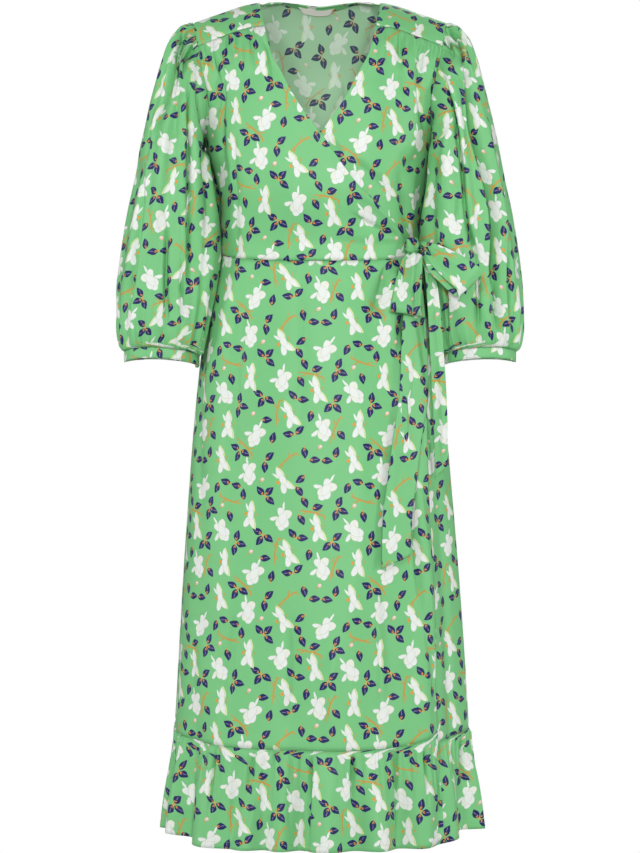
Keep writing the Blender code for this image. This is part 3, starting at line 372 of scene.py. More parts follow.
NECK_HALF = 0.086  # from the middle to the neck end of a shoulder
BACK_NECK_DEPTH = 0.030  # how far down the skin the back neckline is cut
NAPE_HALF = 0.070  # half the width of the nape, which the skin climbs
NAPE_FADES = 0.115  # how far from the middle that climb ends
SHOULDER_FALL = 0.345  # slope of the shoulders
FALL_STARTS = 0.0975  # how far from the middle the slope starts
FALL_ROUND = 0.018  # how softly it starts
CAP_HEIGHT = 0.100  # height of the rounded top of the shoulders
CAP_POWER = 1.6
FALL_HEIGHTS = (-0.22, -0.03)  # heights over which the slope fades in
NECK_POWER = 1.5  # roundness of the back neckline
YOKE_FRONT = -0.040  # height of the yoke's front seam
YOKE_NECK = 0.078  # from the middle to the neck end of that seam
YOKE_BACK = -0.010  # height of the yoke's back seam
ARMHOLE_HALF = 0.100  # half the armhole's height
ARMHOLE_ANGLE = 56.0  # angle of the armhole's edge, above its middle

WAIST = -0.353  # waist seam at the sides and the back
WAIST_DIP = 0.019  # how much lower it is in front
RUFFLE_SEAM = -1.020
RUFFLE_DIP = 0.024
DIP_POWER = 0.8  # roundness of both dips, and of how the ruffles' waves grow
RUFFLE_CORNER_RISE = 0.014  # how far the tie pulls up the wrapping front's corner
PULLED_CORNER = 24.0  # degrees over which it does
HEM = -1.165  # the hem at the sides and the back
HEM_DIP = 0.014  # how much lower it is in front
HEM_DIP_SPAN = (0.35, 0.78)  # cosines of the angles where that dip begins and is full
HEM_CORNER_RISE = 0.007
WRAP_WAIST_ANGLE = 59.0  # where the wrapping edge meets the waist seam
WRAP_HEM_ANGLE = 540.0 / 11  # where it meets the ruffle's seam

GATHER_DEPTH = 0.0022
GATHER_PITCH = 6.0  # degrees from one gather under a yoke to the next
GATHERS_SPAN = (20.0, 56.0)  # degrees from the middle of the front where they begin and end
GATHERS_HEIGHTS = (0.060, 0.125)  # how far down they start to fade, and are gone
GATHERS_FADE = (0.012, 5.0, 4.0)  # over how much they set in: below the seam, and in degrees at each end
RUFFLE_WAVES = 21.0
RUFFLE_DEPTH = 0.0105
RUFFLE_STARTS = 0.002  # how far under their seam the waves start
RUFFLE_STEP = 30.0 / 11  # degrees from one column of a ruffle to the next

# What makes the ruffles' waves uneven: times round the dress, size in radians, start in radians, and 0 where
# gathers have the part of their seed.
WAVE_SWAY = ((3, 0.9, 0.6, 0.0), (7, 0.6, 2.0, 0.0))
DEPTH_SWAY = (5, 0.15, 1.0)  # the same for their depth, its size as a share

# Sections of the dress: height, half width, depth in front, depth behind, power of the rounded section.
SECTIONS = (
    (-1.178, 0.223, 0.172, 0.17, 2.1), (-1.1, 0.2175, 0.166, 0.164, 2.1),
    (-1.06, 0.2125, 0.161, 0.159, 2.1), (-1.02, 0.208, 0.156, 0.155, 2.1),
    (-0.933, 0.2025, 0.149, 0.148, 2.1), (-0.763, 0.192, 0.137, 0.137, 2.1),
    (-0.635, 0.182, 0.129, 0.13, 2.1), (-0.53, 0.172, 0.123, 0.124, 2.15), (-0.44, 0.16, 0.115, 0.112, 2.2),
    (-0.353, 0.142, 0.104, 0.096, 2.2), (-0.27, 0.156, 0.124, 0.103, 2.3), (-0.2, 0.162, 0.12, 0.105, 2.4),
    (-0.15, 0.174, 0.112, 0.104, 2.4), (-0.1, 0.189, 0.102, 0.1, 2.4), (0.0, 0.21, 0.086, 0.088, 2.4),
)

# How far the skin climbs towards the nape: height, climb.
NAPE_CLIMB = ((-0.1, 0.0), (-0.065, 0.015), (-0.03, 0.034), (0.0, 0.0))

# The wrapping front's edge, from the yoke to the waist: x, height.
WRAP_EDGE = (
    (-YOKE_NECK, YOKE_FRONT),
    (-0.0673, -0.0835), (-0.0555, -0.106), (-0.0318, -0.1515), (0.0027, -0.199), (0.0509, -0.2673),
    (0.083, -0.298), (0.1015, -0.3184), (0.118, -0.344),
)

# Where the wrapping front has left the skin in full: height, angle.
FULL_LIFT = (
    (-0.372, -62.0), (-0.344, -61.0), (-0.318, -49.0), (-0.298, -39.0), (-0.267, -24.0), (-0.199, -7.0),
)
LIFT_SPREAD = 24.0  # degrees over which it leaves the skin
LIFT_HEIGHTS = (0.10, 0.17)  # how far down it starts to leave the skin, and may leave it in full

# Soft upright folds of the skirt: angle, half width in degrees, depth, height where each begins.
SKIRT_FOLDS = (
    (-84, 7, -0.005, -0.6), (-55, 6, -0.0045, -0.75), (-36, 7, 0.005, -0.7), (-12, 9, -0.004, -0.8),
    (8, 7, 0.005, -0.72), (26, 6, -0.005, -0.66), (42, 5, 0.0065, -0.48), (62, 5, -0.006, -0.44),
    (80, 6, 0.005, -0.52), (104, 7, -0.005, -0.55), (124, 7, 0.006, -0.62), (147, 8, -0.005, -0.58),
    (166, 7, 0.0055, -0.7), (188, 8, -0.0045, -0.66), (208, 7, 0.006, -0.6), (229, 7, -0.0055, -0.72),
    (252, 7, 0.005, -0.58),
)

# A sleeve, from its armhole to its cuff: share of the way down, the outer line's x and z, the inner line's
# x and z, half depth, and y of the middle.
SLEEVE_LINES = (
    (0.0, 0.178, -0.034, 0.162, -0.2, 0.06, 0.0), (0.05, 0.193, -0.036, 0.165, -0.206, 0.067, -0.003),
    (0.11, 0.209, -0.0495, 0.164, -0.212, 0.074, -0.008), (0.18, 0.222, -0.08, 0.158, -0.22, 0.077, -0.013),
    (0.28, 0.2335, -0.126, 0.15, -0.238, 0.077, -0.018),
    (0.4, 0.2475, -0.185, 0.142, -0.266, 0.074, -0.022),
    (0.54, 0.2635, -0.265, 0.137, -0.308, 0.071, -0.025),
    (0.68, 0.2775, -0.34, 0.137, -0.356, 0.069, -0.027), (0.82, 0.285, -0.41, 0.142, -0.414, 0.066, -0.028),
    (0.92, 0.285, -0.46, 0.151, -0.468, 0.061, -0.028),
    (0.97, 0.2815, -0.485, 0.159, -0.495, 0.054, -0.028),
    (1.0, 0.2775, -0.496, 0.167, -0.504, 0.048, -0.028),
)

# Folds of a sleeve: angle round it (0 outside, 90 front), half width in degrees, depth, and the shares of
# the way down where each begins and ends.
SLEEVE_FOLDS = (
    (-52, 8, -0.006, 0.0, 0.42), (-31, 7, -0.0075, 0.0, 0.34), (-10, 6, -0.006, 0.0, 0.26),
    (12, 6, -0.007, 0.0, 0.3), (33, 7, -0.0085, 0.0, 0.46), (55, 8, -0.007, 0.0, 0.4),
    (76, 9, -0.008, 0.05, 0.95), (44, 9, 0.006, 0.3, 0.92), (20, 10, -0.0055, 0.45, 0.97),
    (104, 9, 0.006, 0.2, 0.9), (130, 9, -0.006, 0.3, 0.98), (-38, 10, 0.006, 0.4, 0.95),
    (-72, 9, -0.0065, 0.2, 0.96), (-100, 9, 0.0055, 0.25, 0.9), (-128, 9, -0.0055, 0.35, 0.97),
)
FOLD_STARTS = (-0.02, 0.10)  # shares past its beginning over which a fold deepens
FOLD_FADES = 0.25  # share over which it fades, up to its end
CUFF_GATHERS = 16
CUFF_GATHER_DEPTH = 0.0026
CUFF_GATHERS_SPAN = (0.72, 0.95, 0.97)  # shares where they begin, are full and start to end at the cuff
CUFF_HEIGHT = 0.0150
CUFF_ARCH = 0.0085  # how much higher a cuff is in front and behind
ARCH_POWER = 1.5
CUFF_ARCH_STARTS = 0.80  # the share of the way down where the sleeve starts to follow it
INNER_SQUARE = 0.7  # under 1, squares a sleeve's section towards the dress
OUTER_SQUARE = 0.92
SQUARE_FROM = 0.3  # share of the way down from which it is squared in full
SLEEVE_HEAD = 0.22  # share of a sleeve that turns from the armhole's shape into its own
SIDE_STARTS = -0.12  # height under which a sleeve keeps clear of the dress's side
ROW_CROWDING = 1.15  # over 1, crowds a sleeve's rows towards its head

KNOT_PLACE = (54.5, -0.3475)  # angle and height of the knot on the dress
KNOT_HALF = (0.0115, 0.0100, 0.0110)  # along the dress, away from it, and up
KNOT_FOLDS = (3, 0.10, 0.5)  # folds round the knot, their depth as a share, where they start in radians
KNOT_SQUARE = (0.6, 0.7)  # under 1, squares the knot across and up

# The bow's bands: x and z of one edge, x and z of the other, room in front of the dress, least reach.
BANDS = {
    "tie_loop_hanging": (
        (0.122, -0.3602, 0.1345, -0.3602, 0.016, 0.079), (0.114, -0.368, 0.1425, -0.367, 0.022, 0.087),
        (0.105, -0.398, 0.1415, -0.399, 0.0245, 0.093), (0.0975, -0.434, 0.1395, -0.439, 0.025, 0.094),
        (0.0965, -0.441, 0.139, -0.446, 0.0205, 0.09), (0.0975, -0.435, 0.1395, -0.44, 0.0162, 0.086),
        (0.1055, -0.398, 0.1415, -0.398, 0.0158, 0.084), (0.115, -0.37, 0.142, -0.369, 0.015, 0.079),
        (0.123, -0.3602, 0.1345, -0.3602, 0.011, 0.0735),
    ),
    "tie_loop_side": (
        (0.1409, -0.343, 0.1409, -0.354, 0.0, 0.078), (0.16, -0.348, 0.153, -0.376, 0.0, 0.099),
        (0.19, -0.362, 0.171, -0.396, 0.0, 0.113), (0.219, -0.381, 0.1885, -0.413, 0.0, 0.119),
        (0.226, -0.391, 0.1925, -0.423, 0.0, 0.113), (0.219, -0.385, 0.187, -0.421, 0.0, 0.1065),
        (0.188, -0.366, 0.168, -0.404, 0.0, 0.103), (0.16, -0.354, 0.151, -0.384, 0.0, 0.092),
        (0.1411, -0.344, 0.1411, -0.3545, 0.0, 0.072),
    ),
    "tie_tail_long": (
        (0.1235, -0.36, 0.132, -0.36, 0.007, 0.0698), (0.119, -0.385, 0.14, -0.385, 0.0082, 0.066),
        (0.113, -0.47, 0.148, -0.47, 0.0086, 0.07), (0.109, -0.553, 0.15, -0.55, 0.0088, 0.074),
        (0.101, -0.609, 0.142, -0.606, 0.0088, 0.076), (0.0925, -0.675, 0.1335, -0.672, 0.0088, 0.078),
        (0.086, -0.727, 0.1265, -0.726, 0.0088, 0.08), (0.0842, -0.796, 0.124, -0.778, 0.0088, 0.08),
    ),
    "tie_tail_short": (
        (0.1325, -0.3602, 0.138, -0.3602, 0.006, 0.068), (0.1425, -0.372, 0.1505, -0.371, 0.006, 0.076),
        (0.146, -0.39, 0.16, -0.39, 0.006, 0.083), (0.149, -0.43, 0.166, -0.43, 0.006, 0.089),
        (0.153, -0.5, 0.172, -0.5, 0.006, 0.088), (0.156, -0.56, 0.176, -0.558, 0.006, 0.082),
        (0.159, -0.618, 0.178, -0.616, 0.006, 0.076), (0.16, -0.672, 0.177, -0.656, 0.006, 0.072),
    ),
}

# Columns and rows of the pieces' grids.
FRONT_COLUMNS = 24
UNDER_COLUMNS = 22
BACK_COLUMNS = 24
SIDE_SEAM_ROWS = 4
ARMHOLE_ROWS = 10
YOKE_ROWS = 10
YOKE_COLUMNS = 8
SKIRT_ROWS = 8
RUFFLE_ROWS = 4
NECK_COLUMNS = 6  # columns of the back on each side of its middle that meet the neckline
FACING_SPAN = (0.04, 0.56)  # the top and bottom of the strip, in rows of the back below its neckline


# ---------------------------------------------------------------- small tools
def smooth(low, high, value):
    """From 0 at low to 1 at high, level at both ends."""
    share = np.clip((value - low) / (high - low), 0.0, 1.0)
    return share * share * (3.0 - 2.0 * share)


def through(keys, values, at):
    """A smooth curve through the points (keys rise), which never swings past them."""
    keys, values, at = np.asarray(keys, float), np.asarray(values, float), np.asarray(at, float)
    steps = np.diff(keys)
    slopes = np.diff(values) / steps
    tangents = np.empty_like(values)
    tangents[0], tangents[-1] = slopes[0], slopes[-1]
    before, after = slopes[:-1], slopes[1:]
    same_way = before * after > 0
    tangents[1:-1] = np.where(same_way, 2 * before * after / np.where(same_way, before + after, 1.0), 0.0)
    i = np.clip(np.searchsorted(keys, at) - 1, 0, len(steps) - 1)
    t = np.clip((at - keys[i]) / steps[i], 0.0, 1.0)
    rise = values[i] + (values[i + 1] - values[i]) * t * t * (3 - 2 * t)
    return rise + steps[i] * (tangents[i] * t * (1 - t) ** 2 - tangents[i + 1] * t * t * (1 - t))


def column(table, index):
    return [row[index] for row in table]


def looked_up(table, at):
    """Each further column of a table, at places along its first column."""
    return [through(column(table, 0), column(table, i), at) for i in range(1, len(table[0]))]


def hill(x):
    """1 at 0, and down to nothing on both sides within about 2."""
    return np.exp(-(x**2))


def apart(angle, other):
    """The turn from another angle to this one, in degrees from -180 to 180."""
    return (angle - other + 180.0) % 360.0 - 180.0


def parts(points):
    return (points[..., i] for i in range(3))


def ends_faded(first, full, fades, last, at):
    """0 outside a span, and 1 inside it, with soft ends."""
    return smooth(first, full, at) * (1 - smooth(fades, last, at))


def swayed(turns, waves, seed=0.0):
    """Slow waves added up. Each has its times, size and start, and the seed's part in that start."""
    return sum(size * np.sin(times * turns + start + seed * part) for times, size, start, part in waves)


def unit(vectors):
    return vectors / np.maximum(np.linalg.norm(vectors, axis=-1, keepdims=True), 1e-12)


# ---------------------------------------------------------------- the skin
def section(height):
    """Half width, depth in front, depth behind and power of the section at each height."""
    return looked_up(SECTIONS, height)


def cap(height):
    """1 below the shoulders' rounded top, and 0 on their ridge."""
    share = np.clip((height + CAP_HEIGHT) / CAP_HEIGHT, 0.0, 1.0)
    return (1.0 - share**CAP_POWER) ** (1.0 / CAP_POWER)


def angle_at(x, height):
    """The front's angle where the skin is x from the middle."""
    half, _, _, power = section(height)
    share = np.clip(np.abs(x) / half, 0.0, 1.0) ** (power / 2)
    return np.sign(x) * np.degrees(np.arcsin(share))


def yoke_gathers(angle, height):
    """Gathers that hang from the yokes' front seams."""
    side = np.abs(angle)
    first, last = GATHERS_SPAN
    down, near, far = GATHERS_FADE
    fade = ends_faded(-YOKE_FRONT, -YOKE_FRONT + down, *GATHERS_HEIGHTS, -height)
    span = ends_faded(first, first + near, last - far, last, side)
    return GATHER_DEPTH * np.sin(np.radians((side - first) * 360 / GATHER_PITCH)) * fade * span


def swelling(angle, height):
    """How far the gathers, the skirt's folds and the ruffles' waves stand out."""
    swell = np.zeros(np.broadcast(angle, height).shape)
    for place, width, depth, begins in SKIRT_FOLDS:
        swell = swell + depth * hill(apart(angle, place) / width) * smooth(-begins, 1.0, -height)
    a = np.radians(angle)
    phase = RUFFLE_WAVES * a + swayed(a, WAVE_SWAY)
    times, size, start = DEPTH_SWAY
    depth = RUFFLE_DEPTH * (1.0 - size + 2 * size * np.sin(times * a + start))
    swell = swell + yoke_gathers(angle, height)
    return swell + depth * np.sin(phase) * smooth(-RUFFLE_SEAM + RUFFLE_STARTS, -HEM, -height) ** DIP_POWER


def form(angle, height):
    """The skin itself, as points."""
    angle, height = np.broadcast_arrays(np.asarray(angle, float), np.asarray(height, float))
    half, front, back, power = section(height)
    a = np.radians(angle)
    s, c = np.sin(a), np.cos(a)
    depth = np.where(c >= 0, front, back) * cap(height)
    x = half * np.sign(s) * np.abs(s) ** (2 / power)
    y = -depth * np.sign(c) * np.abs(c) ** (2 / power)
    outward = unit(np.stack([s / half, -c / np.maximum(depth, 1e-4)], axis=-1))
    swell = swelling(angle, height)
    x, y = x + swell * outward[..., 0], y + swell * outward[..., 1]
    past = np.abs(x) - FALL_STARTS
    softened = np.clip(past + FALL_ROUND, 0.0, None) ** 2 / (4 * FALL_ROUND)
    fall = SHOULDER_FALL * np.where(past > FALL_ROUND, past, softened) * smooth(*FALL_HEIGHTS, height)
    climb = looked_up(NAPE_CLIMB, height)[0] * (c < 0)
    climb = climb * (1 - smooth(NAPE_HALF, NAPE_FADES, np.abs(x)))
    return np.stack([x, y, height - fall + climb], axis=-1)


def skin(angle, height, lift=0.0):
    """Points that stand off the skin by lift, along its normals."""
    angle, height = np.broadcast_arrays(np.asarray(angle, float), np.asarray(height, float))
    turn, rise = 0.4, 0.0012
    top = np.minimum(height + rise, -1e-5)
    around = form(angle + turn, height) - form(angle - turn, height)
    upward = form(angle, top) - form(angle, np.minimum(height, -1e-5 - rise) - rise)
    normal = unit(np.cross(around, upward))
    return form(angle, height) + normal * np.asarray(lift)[..., None]


def waist_seam(angle):
    return WAIST - WAIST_DIP * np.maximum(np.cos(np.radians(angle)), 0.0) ** DIP_POWER


def pulled_up(angle):
    """From 0 to 1 towards the wrapping front's free corner, which the tie pulls up."""
    return np.clip((angle - WRAP_HEM_ANGLE) / PULLED_CORNER + 1.0, 0.0, 1.0) ** 2


def ruffle_seam(angle, corner=0.0):
    """Height of the ruffle's seam; corner is 1 for the wrapping front."""
    dip = RUFFLE_DIP * np.maximum(np.cos(np.radians(angle)), 0.0) ** DIP_POWER
    return RUFFLE_SEAM - dip + corner * RUFFLE_CORNER_RISE * pulled_up(angle)


def armhole_angle(around):
    """The skin's angle on the armhole's edge; around is 0 on the shoulder and 180 under the arm."""
    lower = np.where(np.cos(np.radians(around)) > 0, 1.0, np.abs(np.sin(np.radians(around))))
    return 90.0 - (90.0 - ARMHOLE_ANGLE) * lower


def armhole_height(around):
    return -ARMHOLE_HALF * (1.0 - np.cos(np.radians(around)))


def around_at(height):
    """The armhole's own angle at a height, in front."""
    return float(np.degrees(np.arccos(1.0 + height / ARMHOLE_HALF)))


# ---------------------------------------------------------------- materials
class Tree:
    """Adds nodes to a node tree. An input is a number, a vector or another node's output."""

    def __init__(self, nodes):
        self.nodes = nodes

    def node(self, kind, inputs, **settings):
        made = self.nodes.nodes.new("ShaderNode" + kind)
        for key, value in settings.items():
            setattr(made, key, value)
        for key, value in inputs.items():
            if isinstance(value, bpy.types.NodeSocket):
                self.nodes.links.new(value, made.inputs[key])
            else:
                made.inputs[key].default_value = value
        return made.outputs

    def math(self, operation, *values, clamp=False):
        return self.node("Math", dict(enumerate(values)), operation=operation, use_clamp=clamp)[0]

    def vector(self, operation, *values):
        outputs = self.node("VectorMath", dict(enumerate(values)), operation=operation)
        return outputs["Value" if operation == "LENGTH" else "Vector"]

    def mix(self, factor, a, b, kind="RGBA"):
        found = {"FLOAT": (2, 3, 0), "VECTOR": (4, 5, 1), "RGBA": (6, 7, 2)}[kind]
        made = self.nodes.nodes.new("ShaderNodeMix")
        made.data_type = kind
        for index, value in zip((0,) + found[:2], (factor, a, b)):
            if isinstance(value, bpy.types.NodeSocket):
                self.nodes.links.new(value, made.inputs[index])
            else:
                made.inputs[index].default_value = value
        return made.outputs[found[2]]

    def noise(self, place, scale, detail=2.0, **inputs):
        return self.node("TexNoise", {"Vector": place, "Scale": scale, "Detail": detail, **inputs})


def new_material(name):
    made = bpy.data.materials.new(name)
    made.use_nodes = True
    return made, Tree(made.node_tree)


def ink(name):
    return (*INKS[name], 1.0)


def stroke_group():
    """A brush stroke: a leaf-shaped patch of colour over what is there, with an outline of its own."""
    group = bpy.data.node_groups.new("stroke", "ShaderNodeTree")
    for name, kind in (("Place", "Vector"), ("Under", "Color"), ("Colour", "Color"), ("Line", "Color"),
                       ("Centre", "Vector"), ("Turn", "Vector"), ("Half", "Vector"),
                       ("Point", "Float"), ("Widest", "Float"), ("Bend", "Float"), ("Lined", "Float")):
        group.interface.new_socket(name, in_out="INPUT", socket_type="NodeSocket" + kind)
    group.interface.new_socket("Result", in_out="OUTPUT", socket_type="NodeSocketColor")
    given = group.nodes.new("NodeGroupInput").outputs
    tree = Tree(group)
    mapped = {"Vector": given["Place"], "Location": given["Centre"], "Rotation": given["Turn"],
              "Scale": given["Half"]}
    local = tree.node("Mapping", mapped, vector_type="TEXTURE")[0]
    x, y, _ = tree.node("SeparateXYZ", {0: local})
    half_width = tree.node("SeparateXYZ", {0: given["Half"]})[1]
    squared = tree.math("MULTIPLY", x, x)
    room = tree.math("POWER", tree.math("SUBTRACT", 1.0, squared, clamp=True), given["Point"])
    wide = tree.math("MULTIPLY", room, tree.math("MULTIPLY_ADD", x, given["Widest"], 1.0))
    bent = tree.math("MULTIPLY_ADD", squared, given["Bend"], y)
    inside = tree.math("SUBTRACT", wide, tree.math("ABSOLUTE", bent))
    depth = tree.math("MULTIPLY", inside, half_width)
    cover = tree.math("MULTIPLY_ADD", depth, 1.0 / INK_EDGE, 0.5, clamp=True)
    cover = tree.math("MULTIPLY", cover, tree.math("LESS_THAN", squared, 1.0))
    on_line = tree.math("MULTIPLY_ADD", depth, -1.0 / OUTLINE, 1.0, clamp=True)
    lined = tree.math("MULTIPLY", on_line, given["Lined"])
    colour = tree.mix(lined, given["Colour"], given["Line"])
    result = group.nodes.new("NodeGroupOutput")
    group.links.new(tree.mix(cover, given["Under"], colour), result.inputs["Result"])
    return group


def nearest(tree, place, places):
    """The place as the nearest of some motifs sees it, in its own direction."""
    best = best_distance = None
    half = REPEAT / 2
    for x, y, turn in places:
        offset = tree.vector("SUBTRACT", place, (x, y, np.radians(turn) / TURN_SHARE))
        near = tree.vector("WRAP", offset, (half,) * 3, (-half,) * 3)
        distance = tree.vector("LENGTH", near)
        if best is None:
            best, best_distance = near, distance
            continue
        closer = tree.math("LESS_THAN", distance, best_distance)
        best = tree.mix(closer, best, near, "VECTOR")
        best_distance = tree.math("MINIMUM", distance, best_distance)
    turn = tree.math("MULTIPLY", tree.node("SeparateXYZ", {0: best})[2], TURN_SHARE)
    return tree.node("VectorRotate", {"Vector": best, "Angle": turn}, rotation_type="Z_AXIS")[0]


def drawn(tree, place, colour, motif, group):
    """A motif's strokes over a colour, at each of its places."""
    size, places, strokes = motif
    local = tree.vector("DIVIDE", nearest(tree, place, places), (size, size, 1.0))
    for x, y, turn, length, width, point, widest, bend, name in strokes:
        lined = LINED[0] if name in ("white", "cream") and width > LINED[1] else 0.0
        made = tree.nodes.nodes.new("ShaderNodeGroup")
        made.node_tree = group
        tree.nodes.links.new(local, made.inputs["Place"])
        tree.nodes.links.new(colour, made.inputs["Under"])
        values = {"Colour": ink(name), "Line": ink("outline"), "Centre": (x, y, 0),
                  "Half": (length, width, 1), "Turn": (0, 0, np.radians(turn)),
                  "Point": point, "Widest": widest, "Bend": bend, "Lined": lined}
        for key, value in values.items():
            made.inputs[key].default_value = value
        colour = made.outputs["Result"]
    return colour


def print_group():
    """The printed cloth's colour at a place on it."""
    group = bpy.data.node_groups.new("print", "ShaderNodeTree")
    group.interface.new_socket("Colour", in_out="OUTPUT", socket_type="NodeSocketColor")
    tree = Tree(group)
    stroke = stroke_group()
    flat = tree.node("UVMap", {}, uv_map="flat")[0]
    millimetres = tree.vector("MULTIPLY", flat, (1000.0, 1000.0, 0.0))
    fine, far = RAGGED
    ragged = tree.noise(millimetres, fine, 2.0)["Color"]
    shift = tree.vector("MULTIPLY_ADD", ragged, (far, far, 0.0), (-far / 2, -far / 2, 0.0))
    place = tree.vector("ADD", millimetres, shift)
    fine, spread, least, shade = MOTTLE
    mottle = tree.math("MULTIPLY_ADD", tree.noise(millimetres, fine, 3.0)["Fac"], spread, least, clamp=True)
    ground = tree.mix(mottle, ink("ground"), tuple(shade * value for value in INKS["ground"]) + (1.0,))
    for motif in MOTIFS:
        ground = drawn(tree, place, ground, motif, stroke)
    result = group.nodes.new("NodeGroupOutput")
    group.links.new(ground, result.inputs["Colour"])
    return group


def woven(tree, place, roughness, fine, depth):
    """A woven cloth's bump and the unevenness of its gloss, on a Principled shader."""
    surface = tree.nodes.nodes["Principled BSDF"]
    grain = tree.noise(place, fine, 3.0)["Fac"]
    crinkle = tree.noise(place, fine / 8, 3.0)["Fac"]
    height = tree.math("MULTIPLY_ADD", crinkle, 2.0, grain)
    bump = tree.node("Bump", {"Height": height, "Strength": 1.0, "Distance": depth})[0]
    tree.nodes.links.new(bump, surface.inputs["Normal"])
    uneven = tree.math("MULTIPLY_ADD", crinkle, GLOSS_SPREAD, roughness - GLOSS_SPREAD / 2)
    tree.nodes.links.new(uneven, surface.inputs["Roughness"])
    return surface


def print_cloth(name, wrong_side):
    """Light crepe with the print; its wrong side is paler and duller, and paler still as painted light for
    the shaded inside of the dress.
    """
    made, tree = new_material(name)
    place = tree.node("UVMap", {}, uv_map="flat")[0]
    surface = woven(tree, place, CREPE_ROUGHNESS[wrong_side], CREPE_WEAVE, CREPE_BUMP)
    colour = tree.node("Group", {}, node_tree=PRINT)[0]
    if wrong_side:
        # The wrong side's colour is paled, partly as its own paler cloth and partly as painted light that
        # brightens the shaded inside.
        least, more, towards = PALING_AND_PAINTED_LIGHT
        light = tree.node("SeparateColor", {"Color": colour})["Green"]
        share = tree.math("MULTIPLY_ADD", light, more, least)
        colour = tree.mix(share, colour, (*towards, 1.0))
    tree.nodes.links.new(colour, surface.inputs["Base Color"])
    for setting, value in CREPE_SURFACE.items():
        surface.inputs[setting].default_value = value
    return made


def plain_cloth(name, colour, roughness, fine):
    made, tree = new_material(name)
    place = tree.node("TexCoord", {})["Object"]
    surface = woven(tree, place, roughness, fine, TAPE_BUMP)
    shade = tree.noise(place, fine / 3, 2.0)["Fac"]
    darker = tuple(TAPE_SHADE * value for value in colour)
    tree.nodes.links.new(tree.mix(shade, (*colour, 1.0), (*darker, 1.0)), surface.inputs["Base Color"])
    return made


# ---------------------------------------------------------------- finer grids and their relief
def normals(grid, closed):
    """Normals of a grid of points, from its neighbours."""
    if closed:
        across = np.roll(grid, -1, axis=1) - np.roll(grid, 1, axis=1)
    else:
        across = np.gradient(grid, axis=1)
    return unit(np.cross(across, np.gradient(grid, axis=0)))


def patch(bottom, top, left, right):
    """A grid spanned between four edges, each a list of places (angle, height)."""
    v = np.linspace(0, 1, len(left))[:, None, None]
    u = np.linspace(0, 1, len(bottom))[None, :, None]
    between_sides = left[:, None] * (1 - u) + right[:, None] * u
    between_ends = bottom[None] * (1 - v) + top[None] * v
    corners = (bottom[0] * (1 - u) + bottom[-1] * u) * (1 - v) + (top[0] * (1 - u) + top[-1] * u) * v
    return between_sides + between_ends - corners


def finer(grid, times, axis):
    """The same grid with each cell along an axis cut into several, on smooth curves through its points."""
    grid = np.moveaxis(np.asarray(grid, float), axis, 0)
    last = len(grid) - 1
    at = np.linspace(0, last, last * times + 1)
    i = np.minimum(at.astype(int), last - 1)
    share = (at - i).reshape((-1,) + (1,) * (grid.ndim - 1))
    low, high = grid[i], grid[i + 1]
    first = i.reshape(share.shape) == 0
    final = i.reshape(share.shape) == last - 1
    start = np.where(first, high - low, (high - grid[np.maximum(i - 1, 0)]) / 2)
    end = np.where(final, high - low, (grid[np.minimum(i + 2, last)] - low) / 2)
    bend = share * (1 - share) ** 2 * start - share**2 * (1 - share) * end
    return np.moveaxis(low + (high - low) * share**2 * (3 - 2 * share) + bend, 0, axis)


def finer_both(grid):
    return finer(finer(grid, FINER["rows"], 0), FINER["columns"], 1)


def run_along(grid, axis):
    """Length of the cloth from the first row or column to each point."""
    steps = np.linalg.norm(np.diff(grid, axis=axis), axis=-1)
    start = np.zeros_like(np.take(steps, [0], axis=axis))
    return np.concatenate([start, np.cumsum(steps, axis=axis)], axis=axis)


def from_edge(grid, side):
    """How far each point is from one side of its grid: bottom, top, left or right."""
    axis = 0 if side in ("bottom", "top") else 1
    run = run_along(grid, axis)
    return run if side in ("bottom", "left") else np.take(run, [-1], axis=axis) - run


def edge_relief(grid, seams, hems):
    """Seams draw the cloth in; hems are turned edges, which stand out a little up to their stitches."""
    relief = np.zeros(grid.shape[:2])
    for side in seams:
        relief -= SEAM_ROLL * hill(from_edge(grid, side) / SEAM_REACH)
    for side in hems:
        away = from_edge(grid, side)
        relief += HEM_RIDGE * (1 - smooth(HEM_WIDTH, HEM_WIDTH * HEM_ENDS, away))
        relief -= HEM_RIDGE * hill((away - HEM_WIDTH) / HEM_GROOVE)
    return relief


def fold_profile(across, width):
    """A fold with a narrow crease: steep on its outer side, where the cloth stands out, slow on the other."""
    away = np.where(across > 0, across / FOLD_STEEP, -across / FOLD_SLOW) / width
    place, half = FOLD_BESIDE
    beside = hill((across - place * width) / (half * width))
    crease = hill(across / (FOLD_CREASE * width))
    return FOLD_PART * np.exp(-(away**FOLD_FALL)) + FOLD_PART * crease - FOLD_SHOULDER * beside


def crease_relief(points, table, side):
    """Troughs and soft ridges on the front (side is -1) or the back (side is 1)."""
    x, y, z = parts(points)
    shows = smooth(*CREASE_SIDES, side * y)
    relief = np.zeros(x.shape)
    for index, (x0, z0, x1, z1, width, depth) in enumerate(table):
        run, drop = x1 - x0, z1 - z0
        length = np.hypot(run, drop)
        along = ((x - x0) * run + (z - z0) * drop) / length**2
        across = ((x - x0) * drop - (z - z0) * run) / length
        bow = CREASE_BOW * length * (1 if index % 2 else -1)
        across = (across - bow * np.sin(np.pi * np.clip(along, 0, 1))) * np.sign((x0 + x1) * drop)
        taper = ends_faded(*CREASE_TAPER, along)
        sharp = depth < 0 and width < WIDEST_FOLD
        width = width * (CREASE_START + CREASE_WIDENS * np.clip(along, 0, 1))
        relief += depth * taper * (fold_profile(across, width) if sharp else hill(across / width))
    return relief * shows


